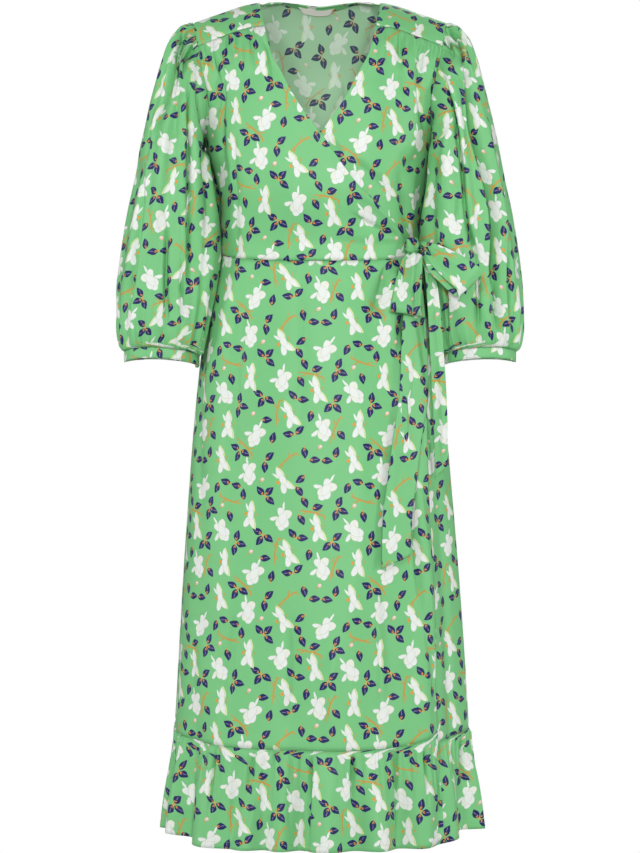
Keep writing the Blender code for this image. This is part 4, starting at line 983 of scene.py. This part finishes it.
def gathers(run, away, kind, seed=0.0):
    """Uneven gathers along a seam: run is the place along it, away the distance from it."""
    pitch, depth, reach = kind
    away = np.maximum(away, 0.0)
    turns = 2 * np.pi * run / pitch
    sway = swayed(turns, GATHERS_SWAY, seed)
    uneven = 1 - GATHERS_DEPTH[1] + swayed(turns, (GATHERS_DEPTH,), seed)
    times, least, more = GATHERS_REACH
    far = reach * (least + more * np.sin(times * turns + seed) ** 2)
    times, size = FINE_GATHERS
    waves = np.sin(turns + sway) + size * np.sin(times * turns + 2 * sway)
    return depth * uneven * waves * np.exp(-((away / far) ** GATHERS_FALL)) * smooth(-0.001, 0.002, away)


def drift(points, seed, size):
    """A slow unevenness of the cloth's surface."""
    x, y, z = parts(points)
    waves = np.sin(23 * x + 9 * z + seed) + np.sin(17 * z - 11 * y + 2.3 * seed)
    return size * (waves + 0.7 * np.sin(31 * y + 13 * x - 7 * z + 4.1 * seed)) / 2.7


# ---------------------------------------------------------------- shells of cloth
def made_mesh(name, points, faces, materials, flat=None):
    """A piece with its flat cloth, a place for each of its points, as a UV map in metres."""
    mesh = bpy.data.meshes.new(name)
    mesh.from_pydata(points.tolist(), [], faces)
    if flat is not None:
        layer = mesh.uv_layers.new(name="flat")
        corners = np.empty(len(mesh.loops), int)
        mesh.loops.foreach_get("vertex_index", corners)
        layer.data.foreach_set("uv", flat[corners].astype(np.float32).ravel())
    mesh.shade_smooth()
    for made in materials:
        mesh.materials.append(made)
    piece = bpy.data.objects.new(name, mesh)
    bpy.context.scene.collection.objects.link(piece)
    return piece


def shell(name, grid, flat_map, materials, flip=False, thickness=SHELL):
    """A thin shell on a grid of points."""
    if flip:
        grid, flat_map = grid[:, ::-1], flat_map[:, ::-1]
    rows, columns = grid.shape[:2]
    corner = np.arange(rows * columns).reshape(rows, columns)
    quads = np.stack([corner[:-1, :-1], corner[:-1, 1:], corner[1:, 1:], corner[1:, :-1]], axis=-1)
    faces = quads.reshape(-1, 4).tolist()
    piece = made_mesh(name, grid.reshape(-1, 3), faces, materials, flat_map.reshape(-1, 2))
    wall = piece.modifiers.new("thickness", "SOLIDIFY")
    wall.thickness = thickness
    wall.offset = -1.0
    wall.material_offset = len(materials) - 1
    wall.use_quality_normals = True
    return piece


def dress(piece, node):
    """Puts a piece in its node's place."""
    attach(piece, "root")
    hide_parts(node)
    return piece


def around_from(reference, angle, height):
    """Signed length round the skin from a reference angle to each place."""
    share = np.linspace(0, 1, 32).reshape((-1,) + (1,) * np.ndim(angle))
    angles = reference + (angle - reference)[None] * share
    points = form(angles, np.broadcast_to(height, angles.shape))
    return np.sign(angle - reference) * np.linalg.norm(np.diff(points, axis=0), axis=-1).sum(axis=0)


def flat_on_skin(grid, plain, on_skin, reference, origin):
    """The flat cloth of a panel: lengths round the skin, with what the folds take up shared to both sides."""
    taken = run_along(grid, 1) - run_along(plain, 1)
    u = around_from(reference, on_skin[..., 0], on_skin[..., 1]) + taken - taken[:, -1:] / 2
    return np.stack([u + origin[0], plain[..., 2] + origin[1]], axis=-1)


def panel(name, on_skin, reference, relief=None, lift=None, seams=(), hems=()):
    """A panel over a grid of places on the skin. Returns its piece and points."""
    fine = finer_both(on_skin)
    angle, height = fine[..., 0], fine[..., 1]
    plain = form(angle, height)
    raised = edge_relief(plain, seams, hems)
    raised += crease_relief(plain, FRONT_CREASES, -1) + crease_relief(plain, BACK_CREASES, 1)
    if lift is not None:
        raised += lift(angle, height)
    if relief is not None:
        raised += relief(angle, height, plain)
    grid = skin(angle, height, raised)
    flat = flat_on_skin(grid, plain, fine, reference, PRINT_ORIGIN[name])
    piece = dress(shell(name + "_cloth", grid, flat, CLOTH), name)
    return piece, grid


def over_lift(angle, height):
    """How far the wrapping front stands off the skin, so that the other front fits beneath it."""
    full = looked_up(FULL_LIFT, height)[0]
    return OVER_LIFT * smooth(full - LIFT_SPREAD, full, angle) * smooth(*LIFT_HEIGHTS, -height)


# ---------------------------------------------------------------- bodice
def places(angle, height):
    return np.stack(np.broadcast_arrays(np.asarray(angle, float), np.asarray(height, float)), axis=-1)


def side_and_armhole(top_around):
    """The edge from the waist up the side seam and round the armhole to a yoke."""
    seam_heights = np.linspace(WAIST, armhole_height(180.0), SIDE_SEAM_ROWS + 1)[:-1]
    around = np.linspace(180.0, top_around, ARMHOLE_ROWS + 1)
    side = places(90.0, seam_heights)
    return np.concatenate([side, places(armhole_angle(around), armhole_height(around))])


def wrap_edge(rows):
    """The wrapping front's edge from the waist to the yoke, at the heights of its side's rows."""
    heights = np.linspace(waist_seam(WRAP_WAIST_ANGLE), YOKE_FRONT, rows)
    table = WRAP_EDGE[::-1]
    x = through(column(table, 1), column(table, 0), heights)
    edge = places(angle_at(x, heights), heights)
    edge[0, 0] = WRAP_WAIST_ANGLE
    return edge


def bodice_front(columns):
    """Places of a front that wraps from the side at -90 degrees past the middle."""
    left = side_and_armhole(around_at(YOKE_FRONT)) * (-1.0, 1.0)
    right = wrap_edge(len(left))
    bottom_angle = np.linspace(-90.0, right[0, 0], columns + 1)
    bottom = places(bottom_angle, waist_seam(bottom_angle))
    top = places(np.linspace(left[-1, 0], right[-1, 0], columns + 1), YOKE_FRONT)
    return patch(bottom, top, left, right)


def back_neckline(x_share):
    """A place on the back neckline, from 0 in the middle to 1 at the neck end of the shoulder."""
    x = NECK_HALF * x_share
    height = -BACK_NECK_DEPTH * (1.0 - x_share**NECK_POWER) ** (1 / NECK_POWER)
    return places(180.0 - angle_at(x, height), height)


def neck_share_at(height):
    """How far out the back neckline is at a height."""
    return (1.0 - (height / -BACK_NECK_DEPTH) ** NECK_POWER) ** (1 / NECK_POWER)


def bodice_back():
    """Places of the back, with its neckline."""
    side = side_and_armhole(around_at(YOKE_BACK))
    left = side * (-1.0, 1.0) + (180.0, 0.0)
    left[:, 0] = 180.0 - side[:, 0]
    right = left * (-1.0, 1.0) + (360.0, 0.0)
    shoulder = BACK_COLUMNS // 2 - NECK_COLUMNS
    corner = neck_share_at(YOKE_BACK)
    corner_angle = 180.0 - float(angle_at(NECK_HALF * corner, YOKE_BACK))
    ends = places(np.linspace(left[-1, 0], corner_angle, shoulder + 1)[:-1], YOKE_BACK)
    curve = back_neckline(corner * np.linspace(1.0, 0.0, NECK_COLUMNS + 1))
    half_top = np.concatenate([ends, curve])
    top = np.concatenate([half_top, half_top[::-1][1:] * (-1.0, 1.0) + (360.0, 0.0)])
    bottom_angle = np.linspace(90.0, 270.0, BACK_COLUMNS + 1)
    bottom = places(bottom_angle, waist_seam(bottom_angle))
    return patch(bottom, top, left, right)


def bodice_relief(angle, height, points):
    """Gathers under the yokes, small puckers over the waist seam, and the cloth's unevenness."""
    x, y, _ = parts(points)
    front = smooth(0.0, 0.02, -y)
    span = smooth(YOKE_NECK - 0.010, YOKE_NECK + 0.004, np.abs(x))
    under_yoke = gathers(x, YOKE_FRONT - height, YOKE_GATHERS) * front * span
    puckers = gathers(x + y, height - waist_seam(angle), WAIST_PUCKERS, 0.6)
    return under_yoke + puckers + drift(points, 0.4, 0.0005)


def build_bodice():
    over, over_grid = panel(
        "bodice_front_over", bodice_front(FRONT_COLUMNS), 0.0, bodice_relief, over_lift,
        seams=("bottom", "left", "top"), hems=("right",),
    )
    under, under_grid = panel(
        "bodice_front_under", bodice_front(UNDER_COLUMNS)[:, ::-1] * (-1.0, 1.0), 0.0, bodice_relief,
        seams=("bottom", "right", "top"), hems=("left",),
    )
    back, back_grid = panel(
        "bodice_back", bodice_back(), 180.0, bodice_relief, seams=("bottom", "left", "right", "top")
    )
    stitched(over_grid, "right", HEM_WIDTH)
    stitched(under_grid, "left", HEM_WIDTH)
    return back_grid


def build_yokes():
    """A yoke crosses the shoulder, from its seam in front to its seam behind."""
    front, back = around_at(YOKE_FRONT), around_at(YOKE_BACK)
    around = np.linspace(front, -back, YOKE_ROWS * FINER["rows"] + 1)
    height = np.minimum(armhole_height(around), -1e-6)
    neck_front = angle_at(through((YOKE_FRONT, 0.0), (YOKE_NECK, NECK_HALF), height), height)
    neck_back = angle_at(NECK_HALF * neck_share_at(np.maximum(height, -BACK_NECK_DEPTH)), height)
    neck = np.where(around > 0, neck_front, 180.0 - neck_back)
    arm = np.where(around > 0, armhole_angle(around), 180.0 - armhole_angle(around))
    share = np.linspace(0, 1, YOKE_COLUMNS * FINER["columns"] + 1)[None, :]
    for name, side in (("yoke_left", 1.0), ("yoke_right", -1.0)):
        angle = neck[:, None] * (1 - share) + arm[:, None] * share
        heights = np.broadcast_to(height[:, None], angle.shape)
        raised = edge_relief(form(angle, heights), ("bottom", "top", "right"), ("left",)) + YOKE_LIFT
        grid = skin(angle, heights, raised)
        flat = np.stack([run_along(grid, 1), run_along(grid, 0)], axis=-1) + PRINT_ORIGIN[name]
        turned = grid * (side, 1.0, 1.0)
        piece = dress(shell(name + "_cloth", turned, flat * (side, 1.0), CLOTH, flip=side < 0), name)


# ---------------------------------------------------------------- skirt and ruffles
def skirt_relief(angle, height, points):
    x, y, _ = parts(points)
    puckers = gathers(x - y, waist_seam(angle) - height, WAIST_PUCKERS, 1.9)
    return puckers + drift(points, 1.7, 0.0007)


def build_skirt():
    v = np.linspace(0, 1, SKIRT_ROWS + 1)
    edge_angle = WRAP_HEM_ANGLE + (WRAP_WAIST_ANGLE - WRAP_HEM_ANGLE) * v**2
    side = np.full_like(v, 90.0)

    def spread(name, start, end, columns, reference, seams, hems=(), corner=0.0, lift=None):
        """A skirt panel between two lines of angles, from the ruffle's seam up to the waist."""
        u = np.linspace(0, 1, columns + 1)[None, :]
        angle = start[:, None] * (1 - u) + end[:, None] * u
        low, high = ruffle_seam(angle, corner), waist_seam(angle)
        height = low * (1 - v[:, None]) + high * v[:, None]
        fine = finer(places(angle, height), SKIRT_FINER, 0)
        piece, grid = panel(name, fine, reference, skirt_relief, lift, seams=seams, hems=hems)
        return grid

    ends = ("bottom", "top")
    over = spread("skirt_front_over", -side, edge_angle, FRONT_COLUMNS, 0.0, ends + ("left",), ("right",),
                  corner=1.0, lift=over_lift)
    spread("skirt_front_under", -edge_angle, side, UNDER_COLUMNS, 0.0, ends + ("right",), ("left",))
    spread("skirt_back", side, 3 * side, BACK_COLUMNS, 180.0, ends + ("left", "right"))
    stitched(over, "right", HEM_WIDTH)


def ruffle_relief(angle, height, points):
    """Gathers that hang from the seam, and narrow folds between its waves that fade at uneven lengths."""
    away = ruffle_seam(angle) - height
    run = np.radians(angle) * RUFFLE_RADIUS
    turns = 2 * np.pi * run / RUFFLE_PITCH
    sway = turns + swayed(turns, FOLDS_SWAY) + FOLDS_LEAN * away
    trough = hill(np.sin(sway / 2) / RUFFLE_FOLD_WIDTH)
    uneven = 1 - FOLDS_DEPTH[1] + swayed(turns, (FOLDS_DEPTH,))
    times, least, more, start = FOLDS_REACH
    reach = least + more * np.sin(times * turns + start) ** 2
    shows = smooth(0.0, FOLDS_START, away) * (1 - smooth(*FOLDS_FADE, away / reach))
    return gathers(run, away, RUFFLE_GATHERS, 0.3) - RUFFLE_FOLD * trough * uneven * shows


def build_ruffles():
    def ruffle(name, first, last, reference, seams, hems, corner=0.0, lift=None):
        """A ruffle between two of the columns that all three share."""
        angle = np.arange(first, last + 1) * RUFFLE_STEP
        v = np.linspace(0, 1, RUFFLE_ROWS + 1)[:, None]
        front = smooth(*HEM_DIP_SPAN, np.cos(np.radians(angle)))
        hem = HEM - HEM_DIP * front + corner * HEM_CORNER_RISE * pulled_up(angle)
        height = hem * (1 - v) + ruffle_seam(angle, corner) * v
        angles = np.repeat(angle[None, :], RUFFLE_ROWS + 1, axis=0)
        on_skin = places(angles, height)
        piece, grid = panel(name, on_skin, reference, ruffle_relief, lift, seams=seams, hems=hems)
        for side in hems:
            stitched(grid, side, HEM_WIDTH)

    side, wrap = round(90.0 / RUFFLE_STEP), round(WRAP_HEM_ANGLE / RUFFLE_STEP)
    ruffle("ruffle_over", -side, wrap, 0.0, ("top", "left"), ("bottom", "right"), corner=1.0, lift=over_lift)
    ruffle("ruffle_under", -wrap, side, 0.0, ("top", "right"), ("bottom", "left"))
    ruffle("ruffle_back", side, 3 * side, 180.0, ("top", "left", "right"), ("bottom",))


# ---------------------------------------------------------------- sleeves
def armhole(around):
    """Points of the armhole's edge on the wearer's left, drawn in by its seam."""
    front = np.sin(np.radians(around)) >= 0
    angle = armhole_angle(around)
    height = np.minimum(armhole_height(around), -1e-6)
    return skin(np.where(front, angle, 180.0 - angle), height, np.full(angle.shape, -SEAM_ROLL))


def sleeve_ring(share, around):
    """The plain form of a sleeve."""
    outer_x, outer_z, inner_x, inner_z, depth, middle = np.array(looked_up(SLEEVE_LINES, share))[..., None]
    a = np.radians(around)[None, :]
    squared = np.where(np.cos(a) < 0, 1 - (1 - INNER_SQUARE) * smooth(0.0, SQUARE_FROM, share[:, None]), 1.0)
    swing = (1 + np.sign(np.cos(a)) * np.abs(np.cos(a)) ** squared) / 2
    round_out = np.sign(np.sin(a)) * np.abs(np.sin(a)) ** OUTER_SQUARE
    x = inner_x + (outer_x - inner_x) * swing
    z = inner_z + (outer_z - inner_z) * swing
    y = middle - depth * round_out
    return np.stack([x, y, z], axis=-1)


def sleeve_relief(share, around):
    """How far a sleeve's folds and gathers stand out."""
    share, a = share[:, None], around[None, :]
    relief = np.zeros(np.broadcast(share, a).shape)
    for place, width, depth, begins, ends in SLEEVE_FOLDS:
        shows = ends_faded(begins + FOLD_STARTS[0], begins + FOLD_STARTS[1], ends - FOLD_FADES, ends, share)
        relief = relief + depth * hill(apart(a, place) / width) * shows
    waves = np.sin(np.radians(a) * CUFF_GATHERS + np.sin(np.radians(a) * 3))
    begin, full, end = CUFF_GATHERS_SPAN
    return relief + CUFF_GATHER_DEPTH * waves * ends_faded(begin, full, end, 1.0, share)


def fine_sleeve_relief(share, around, seed):
    """Gathers and pleats over the top of a sleeve's head, and gathers over its cuff."""
    share, a = share[:, None], around[None, :]
    run = np.radians(a) * SLEEVE_RADIUS
    top = ends_faded(*HEAD_TOP, a)
    relief = gathers(run, share * SLEEVE_LENGTH, SLEEVE_HEAD_GATHERS, seed) * top
    relief = relief + gathers(run, (1 - share) * SLEEVE_LENGTH, CUFF_GATHERS_FINE, 1 + seed)
    place, width, depth, begin, end = UNDERARM
    relief = relief + depth * hill((a - place) / width) * ends_faded(0.0, begin, 2 * begin, end, share)
    for place, width, depth, end in SLEEVE_PLEATS:
        size, times, start = PLEAT_SWAY
        away = np.abs(apart(a + size * np.sin(times * share + start * place + seed), place))
        opens = width * (1 + PLEAT_OPENS * share)
        trough = np.exp(-away / opens) - PLEAT_SHOULDER * hill(away / opens - PLEAT_BESIDE)
        relief = relief - depth * trough * ends_faded(*PLEAT_STARTS, PLEAT_FADES * end, end, share)
    return relief


def hanging_folds(points, table, side):
    """Folds that hang down the front (side is -1) or the back (side is 1) of a sleeve."""
    x, y, z = parts(points)
    shows = smooth(*FOLD_SIDES, side * (y - y.mean(axis=1, keepdims=True)))
    relief = np.zeros(x.shape)
    for width, depth, line in table:
        first, last = -line[0][1], -line[-1][1]
        across = x - through([-low for _, low in line], column(line, 0), -z)
        opens = HEAD_PLEAT_OPENS if first < HEAD_PLEATS_TO else FOLD_OPENS
        before, fades, past = FOLD_ENDS
        taper = ends_faded(first - before, first + opens, last - fades, last + past, -z)
        relief += depth * taper * (fold_profile(across, width) if depth < 0 else hill(across / width))
    return relief * shows


def sleeve_flat(grid):
    """The flat cut of a sleeve: lengths round it at each height, and down its outer line."""
    outer = grid.shape[1] // 2
    closed = closed_up(grid)
    drop = np.maximum.accumulate(-closed[..., 2], axis=0) + 1e-7 * np.arange(len(grid))[:, None]
    levels = np.linspace(drop.min(), drop.max(), FLAT_LEVELS)
    columns = range(closed.shape[1])
    lines = [[np.interp(levels, drop[:, j], closed[:, j, i]) for i in range(3)] for j in columns]
    steps = np.linalg.norm(np.diff(np.array(lines), axis=0), axis=1)
    run = np.concatenate([np.zeros((1, len(levels))), np.cumsum(steps, axis=0)])
    run = run - run[outer]
    across = np.stack([np.interp(drop[:, j], levels, run[j]) for j in columns], axis=1)
    down = run_along(grid, 0)[:, outer]
    on_outer = np.interp(drop, drop[:, outer], down)
    upright = down[-1] - (drop[-1, outer] - drop)
    turn = np.linspace(-np.pi, np.pi, closed.shape[1])[None, :]
    near_outer = ((1 + np.cos(turn)) / 2) ** 2
    return across, -(on_outer * near_outer + upright * (1 - near_outer))


def clear_of_side(points, room):
    """Pushes points out from the dress's side to a given room."""
    x, y, z = parts(points)
    half, front, back, power = section(np.minimum(z, SIDE_STARTS))
    depth = np.where(y < 0, front, back) + room
    share = np.clip(1.0 - (np.abs(y) / depth) ** power, 0.0, 1.0) ** (1 / power)
    least = (half + room) * share
    return np.stack([np.maximum(x, np.where(z < SIDE_STARTS, least, x)), y, z], axis=-1)


def closed_up(grid):
    """Repeats a tube's first column at its end, where its seam is."""
    return np.concatenate([grid, grid[:, :1]], axis=1)


def build_sleeves():
    around = np.linspace(-180.0, 180.0, SLEEVE_COLUMNS_FINE + 1)[:-1]
    share = np.linspace(0, 1, SLEEVE_ROWS_FINE + 1) ** ROW_CROWDING
    edge = armhole(around)
    start = sleeve_ring(np.array([0.0]), around)
    join = 1 - smooth(0.0, SLEEVE_HEAD, share)[:, None, None]
    plain = sleeve_ring(share, around) + (edge[None] - start) * join
    arch = CUFF_ARCH * np.abs(np.sin(np.radians(around))) ** ARCH_POWER
    lift_front = smooth(CUFF_ARCH_STARTS, 1.0, share)[:, None] * arch[None, :]
    for name, other, mirror, seed in (("left", "right", 1.0, 0.5), ("right", "left", -1.0, 1.8)):
        flip = (mirror, 1.0, 1.0)
        raised = sleeve_relief(share, around) + fine_sleeve_relief(share, around, seed)
        raised += hanging_folds(plain, HANGING_FOLDS[name], -1)
        raised += hanging_folds(plain, HANGING_FOLDS[other], 1)
        raised = raised + edge_relief(plain, ("bottom", "top"), ())
        grid = plain + normals(plain, True) * raised[..., None]
        grid = clear_of_side(grid, SLEEVE_ROOM * smooth(0.0, CLEAR_FROM, share)[:, None])
        grid[0] = edge + (SEAM_GAP / 2, 0.0, 0.0)
        u, v = sleeve_flat(grid)
        grid[..., 2] += lift_front
        closed = closed_up(grid)
        flat = np.stack([u, v], axis=-1) * (mirror, 1.0) + PRINT_ORIGIN["sleeve_" + name]
        sleeve = shell(f"sleeve_{name}_cloth", closed * flip, flat, CLOTH, flip=mirror < 0)
        dress(sleeve, "sleeve_" + name)
        build_cuff(name, grid[-1], flip, u[-1])


def build_cuff(name, top, flip, run):
    """A narrow band under a sleeve, drawn in by its two seams and its turned edge."""
    down = np.linspace(0, -CUFF_HEIGHT, CUFF_ROWS_FINE + 1)
    centre = top.mean(axis=0)
    shifts = range(-CUFF_SMOOTHED, CUFF_SMOOTHED + 1)
    smoothed = sum(np.roll(top, shift, axis=0) for shift in shifts) / len(shifts)
    outward = unit((smoothed - centre) * (1, 1, 0))
    share = np.linspace(0, 1, len(down))[:, None, None]
    rounded = CUFF_ROUND * (1 - (2 * share - 1) ** 4)
    calmed = smooth(0.0, CUFF_CALM, share)
    base = top[None] * (1 - calmed) + smoothed[None] * calmed
    grid = base + outward[None] * (rounded - CUFF_ROUND)
    grid[..., 2] += down[:, None]
    mirror = flip[0]
    u = np.repeat(run[None], len(down), axis=0)
    flat = np.stack([u, np.repeat(down[:, None], len(run), axis=1)], axis=-1)
    flat = flat * (mirror, 1.0) + PRINT_ORIGIN["cuff_" + name]
    closed = closed_up(grid) * flip
    cuff = shell(f"cuff_{name}_cloth", closed, flat, CLOTH, flip=mirror < 0, thickness=2 * SHELL)
    dress(cuff, "cuff_" + name)
    turned = closed[:, ::int(mirror)]
    stitched(turned, "bottom", CUFF_STITCHES[0])
    stitched(turned, "top", CUFF_STITCHES[1])


def between(grid, rows, columns):
    """Points of a grid at fractional rows and columns."""
    rows, columns = np.broadcast_arrays(rows, columns)
    r = np.minimum(rows.astype(int), grid.shape[0] - 2)
    c = np.minimum(columns.astype(int), grid.shape[1] - 2)
    v, u = (rows - r)[..., None], (columns - c)[..., None]
    low = grid[r, c] * (1 - u) + grid[r, c + 1] * u
    high = grid[r + 1, c] * (1 - u) + grid[r + 1, c + 1] * u
    return low * (1 - v) + high * v


def build_neck(back):
    """The strip lies inside the back neckline, and the label on it."""
    rows, columns = FINER["rows"], FINER["columns"]
    facing = -normals(back, False)
    last, middle = back.shape[0] - 1, BACK_COLUMNS // 2 * columns

    def laid(name, span, half, inward, grid_size, materials, taper=0.0, aside=0.0):
        """A piece on the inner side of the back, between two of its rows."""
        top_row, bottom_row = span
        down = np.linspace(0, 1, grid_size[0])[:, None]
        row = last - (bottom_row + (top_row - bottom_row) * (1 - down)) * rows
        across = np.linspace(-1, 1, grid_size[1])[None, :]
        column_at = middle + (aside + across * half * (1 - taper * down)) * columns
        grid = between(back, row, column_at) + between(facing, row, column_at) * inward
        flat = np.stack([run_along(grid, 1), -run_along(grid, 0)], axis=-1)
        flat = flat + PRINT_ORIGIN["back_neck_facing"]
        dress(shell(name + "_cloth", grid, flat, materials), name)

    laid("back_neck_facing", FACING_SPAN, NECK_COLUMNS, FACING_IN, FACING_GRID, CLOTH[:1])
    laid("label", LABEL_SPAN, LABEL_HALF, LABEL_IN, LABEL_GRID, [TAPE],
         LABEL_TAPER, LABEL_ASIDE)


# ---------------------------------------------------------------- the bow
def build_knot():
    """A rounded block with the ties' folds pulled into it."""
    rings, sides = KNOT_GRID
    folds, fold_depth, fold_start = KNOT_FOLDS
    square_across, square_up = KNOT_SQUARE
    tilt = np.linspace(-np.pi / 2, np.pi / 2, rings + 1)[1:-1, None]
    turn = np.linspace(0, 2 * np.pi, sides + 1)[None, :-1]
    squeeze = 1.0 - fold_depth * np.cos(folds * turn + fold_start) * np.cos(tilt)
    for count, depth, start in KNOT_CREASES:
        wound = np.abs(np.sin(count * turn / 2 + start + KNOT_WINDS * tilt))
        squeeze = squeeze - depth * wound * np.cos(tilt) ** 0.5
    reach = np.abs(np.cos(tilt)) ** square_across * squeeze
    level = np.sign(np.sin(tilt)) * np.abs(np.sin(tilt)) ** square_up
    grid = np.stack([reach * np.cos(turn), reach * np.sin(turn), level + 0 * turn], axis=-1)
    points = np.concatenate([[[0, 0, -1]], grid.reshape(-1, 3), [[0, 0, 1]]])

    angle, height = KNOT_PLACE
    on_dress = skin(angle, height)
    away = unit(skin(angle, height, 1.0) - on_dress)
    along = unit(np.cross((0.0, 0.0, 1.0), away))
    axes = np.stack([along, away, np.cross(along, away) * (0.0, 0.0, 1.0)])
    centre = on_dress + away * (OVER_LIFT + SEAM_GAP * 2 + KNOT_HALF[1])

    ring = 1 + np.arange((rings - 1) * sides).reshape(rings - 1, sides)
    after = np.roll(ring, -1, axis=1)
    faces = np.stack([ring[:-1], after[:-1], after[1:], ring[1:]], axis=-1).reshape(-1, 4).tolist()
    faces += [[0, int(b), int(a)] for a, b in zip(ring[0], after[0])]
    faces += [[len(points) - 1, int(a), int(b)] for a, b in zip(ring[-1], after[-1])]
    placed = (points * KNOT_HALF) @ unit(axes) + centre
    flat = points[:, [0, 2]] * KNOT_CLOTH + PRINT_ORIGIN["tie_knot"]
    return dress(made_mesh("tie_knot_cloth", placed, faces, CLOTH[:1], flat), "tie_knot")


def band(name, table):
    """A flat tie in front of the dress, between two edges."""
    rows, columns = TIE_GRID
    keys, at = np.linspace(0, 1, len(table)), np.linspace(0, 1, rows + 1)
    ax, az, bx, bz, room, least = (through(keys, column(table, i), at)[:, None] for i in range(6))
    u = np.linspace(0, 1, columns + 1)[None, :]
    x, z = ax * (1 - u) + bx * u, az * (1 - u) + bz * u
    half, front, _, power = section(z)
    share = np.clip(np.abs(x) / half, 0.0, 1.0)
    dress_depth = front * (1 - share**power) ** (1 / power)
    plain = np.stack([x, -np.maximum(dress_depth + room, least), z], axis=-1)
    relief = edge_relief(plain, (), ("left", "right"))
    for place, width, depth, start, end in TIE_CREASES[name]:
        along = ends_faded(start, start + TIE_CREASE_ENDS[0], end - TIE_CREASE_ENDS[1], end, at)
        relief += depth * hill((u - place) / width) * along[:, None]
    grid = plain - normals(plain, False) * (WALL + relief)[..., None]
    flat = np.stack([run_along(plain, 1), -run_along(plain, 0)], axis=-1) + PRINT_ORIGIN[name]
    return dress(shell(name + "_cloth", grid, flat, CLOTH[:1], flip=True), name)


def build_bow():
    knot = build_knot()
    for name, table in BANDS.items():
        band(name, table)


# ---------------------------------------------------------------- stitches
def stitched(grid, side, distance):
    """Notes a row of stitches at a distance from one side of a piece."""
    away, facing = from_edge(grid, side), normals(grid, False)
    if side in ("bottom", "top"):
        away, grid, facing = away.T, grid.transpose(1, 0, 2), facing.transpose(1, 0, 2)
    if side in ("right", "top"):
        away, grid, facing = away[:, ::-1], grid[:, ::-1], facing[:, ::-1]
    values = np.concatenate([grid, facing], axis=-1)
    line = [[np.interp(distance, run, row[:, i]) for i in range(6)] for run, row in zip(away, values)]
    STITCHED.append(np.array(line))


def build_stitches():
    """Every row of stitches, each stitch a small rounded bar that lies along its row."""
    pitch, length, half = STITCH
    points, faces = [], []
    for line in STITCHED:
        run = np.concatenate([[0], np.cumsum(np.linalg.norm(np.diff(line[:, :3], axis=0), axis=1))])
        for at in np.arange(pitch / 2, run[-1] - pitch / 2, pitch):
            here = np.array([np.interp(at, run, line[:, i]) for i in range(6)])
            ahead = np.array([np.interp(at + length / 2, run, line[:, i]) for i in range(3)])
            along, up = unit(ahead - here[:3]), unit(here[3:])
            across = np.cross(up, along)
            start = len(points)
            local = np.array(BAR_CORNERS) * (length / 2, half, half)
            points += (here[:3] + local @ np.stack([along, across, up])).tolist()
            faces += [tuple(start + corner for corner in face) for face in BAR_FACES]
    piece = made_mesh("stitches", np.array(points), faces, [THREAD])
    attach(piece, "root")


# ---------------------------------------------------------------- floor, light and camera
def build_stage():
    bpy.ops.mesh.primitive_plane_add(size=FLOOR_SIZE, location=(0, 0, FLOOR_HEIGHT))
    floor = bpy.context.object
    floor.name = "floor"
    made, tree = new_material("floor_white")
    seen = tree.node("LightPath", {})["Is Camera Ray"]
    plain = tree.node("BsdfDiffuse", {"Color": (0.8, 0.8, 0.8, 1)})[0]
    glow = tree.node("Emission", {"Strength": SKY_SEEN})[0]
    mixed = tree.node("MixShader", {0: seen, 1: plain, 2: glow})[0]
    made.node_tree.links.new(mixed, made.node_tree.nodes["Material Output"].inputs["Surface"])
    floor.data.materials.append(made)


def build_lights():
    world = bpy.data.worlds.new("studio")
    world.use_nodes = True
    bpy.context.scene.world = world
    tree = Tree(world.node_tree)
    seen = tree.node("LightPath", {})["Is Camera Ray"]
    strength = tree.mix(seen, SKY_LIGHT, SKY_SEEN, "FLOAT")
    background = world.node_tree.nodes["Background"]
    background.inputs["Color"].default_value = (1, 1, 1, 1)
    world.node_tree.links.new(strength, background.inputs["Strength"])
    for name, place, aim, size, power in LIGHTS:
        lamp = bpy.data.lights.new(name, "AREA")
        lamp.shape = "DISK"
        lamp.size = size
        lamp.energy = power
        light = bpy.data.objects.new(name, lamp)
        light.location = place
        light.rotation_euler = (Vector(aim) - Vector(place)).to_track_quat("-Z", "Y").to_euler()
        bpy.context.scene.collection.objects.link(light)


def build_camera():
    lens = bpy.data.cameras.new("camera")
    lens.sensor_width = SENSOR
    lens.lens = SENSOR * CAMERA_AWAY / (PIXEL * FRAME_HEIGHT)
    lens.clip_end = FLOOR_SIZE
    camera = bpy.data.objects.new("camera", lens)
    camera.location = (0.0, -CAMERA_AWAY, CAMERA_HEIGHT)
    camera.rotation_euler = (np.pi / 2, 0.0, 0.0)
    bpy.context.scene.collection.objects.link(camera)
    bpy.context.scene.camera = camera


# ---------------------------------------------------------------- the scene
PRINT = print_group()
CLOTH = [print_cloth("printed_crepe", False), print_cloth("printed_crepe_wrong_side", True)]
TAPE = plain_cloth("label_tape", TAPE_COLOUR, 0.6, 2600.0)
THREAD = plain_cloth("thread", THREAD_COLOUR, 0.5, 5200.0)
STITCHED = []

back_grid = build_bodice()
build_yokes()
build_skirt()
build_ruffles()
build_sleeves()
build_neck(back_grid)
build_bow()
build_stitches()
build_stage()
build_lights()
build_camera()

scene = bpy.context.scene
scene.view_settings.view_transform = "Standard"
scene.view_settings.look = "None"
scene.view_settings.exposure = 0.0
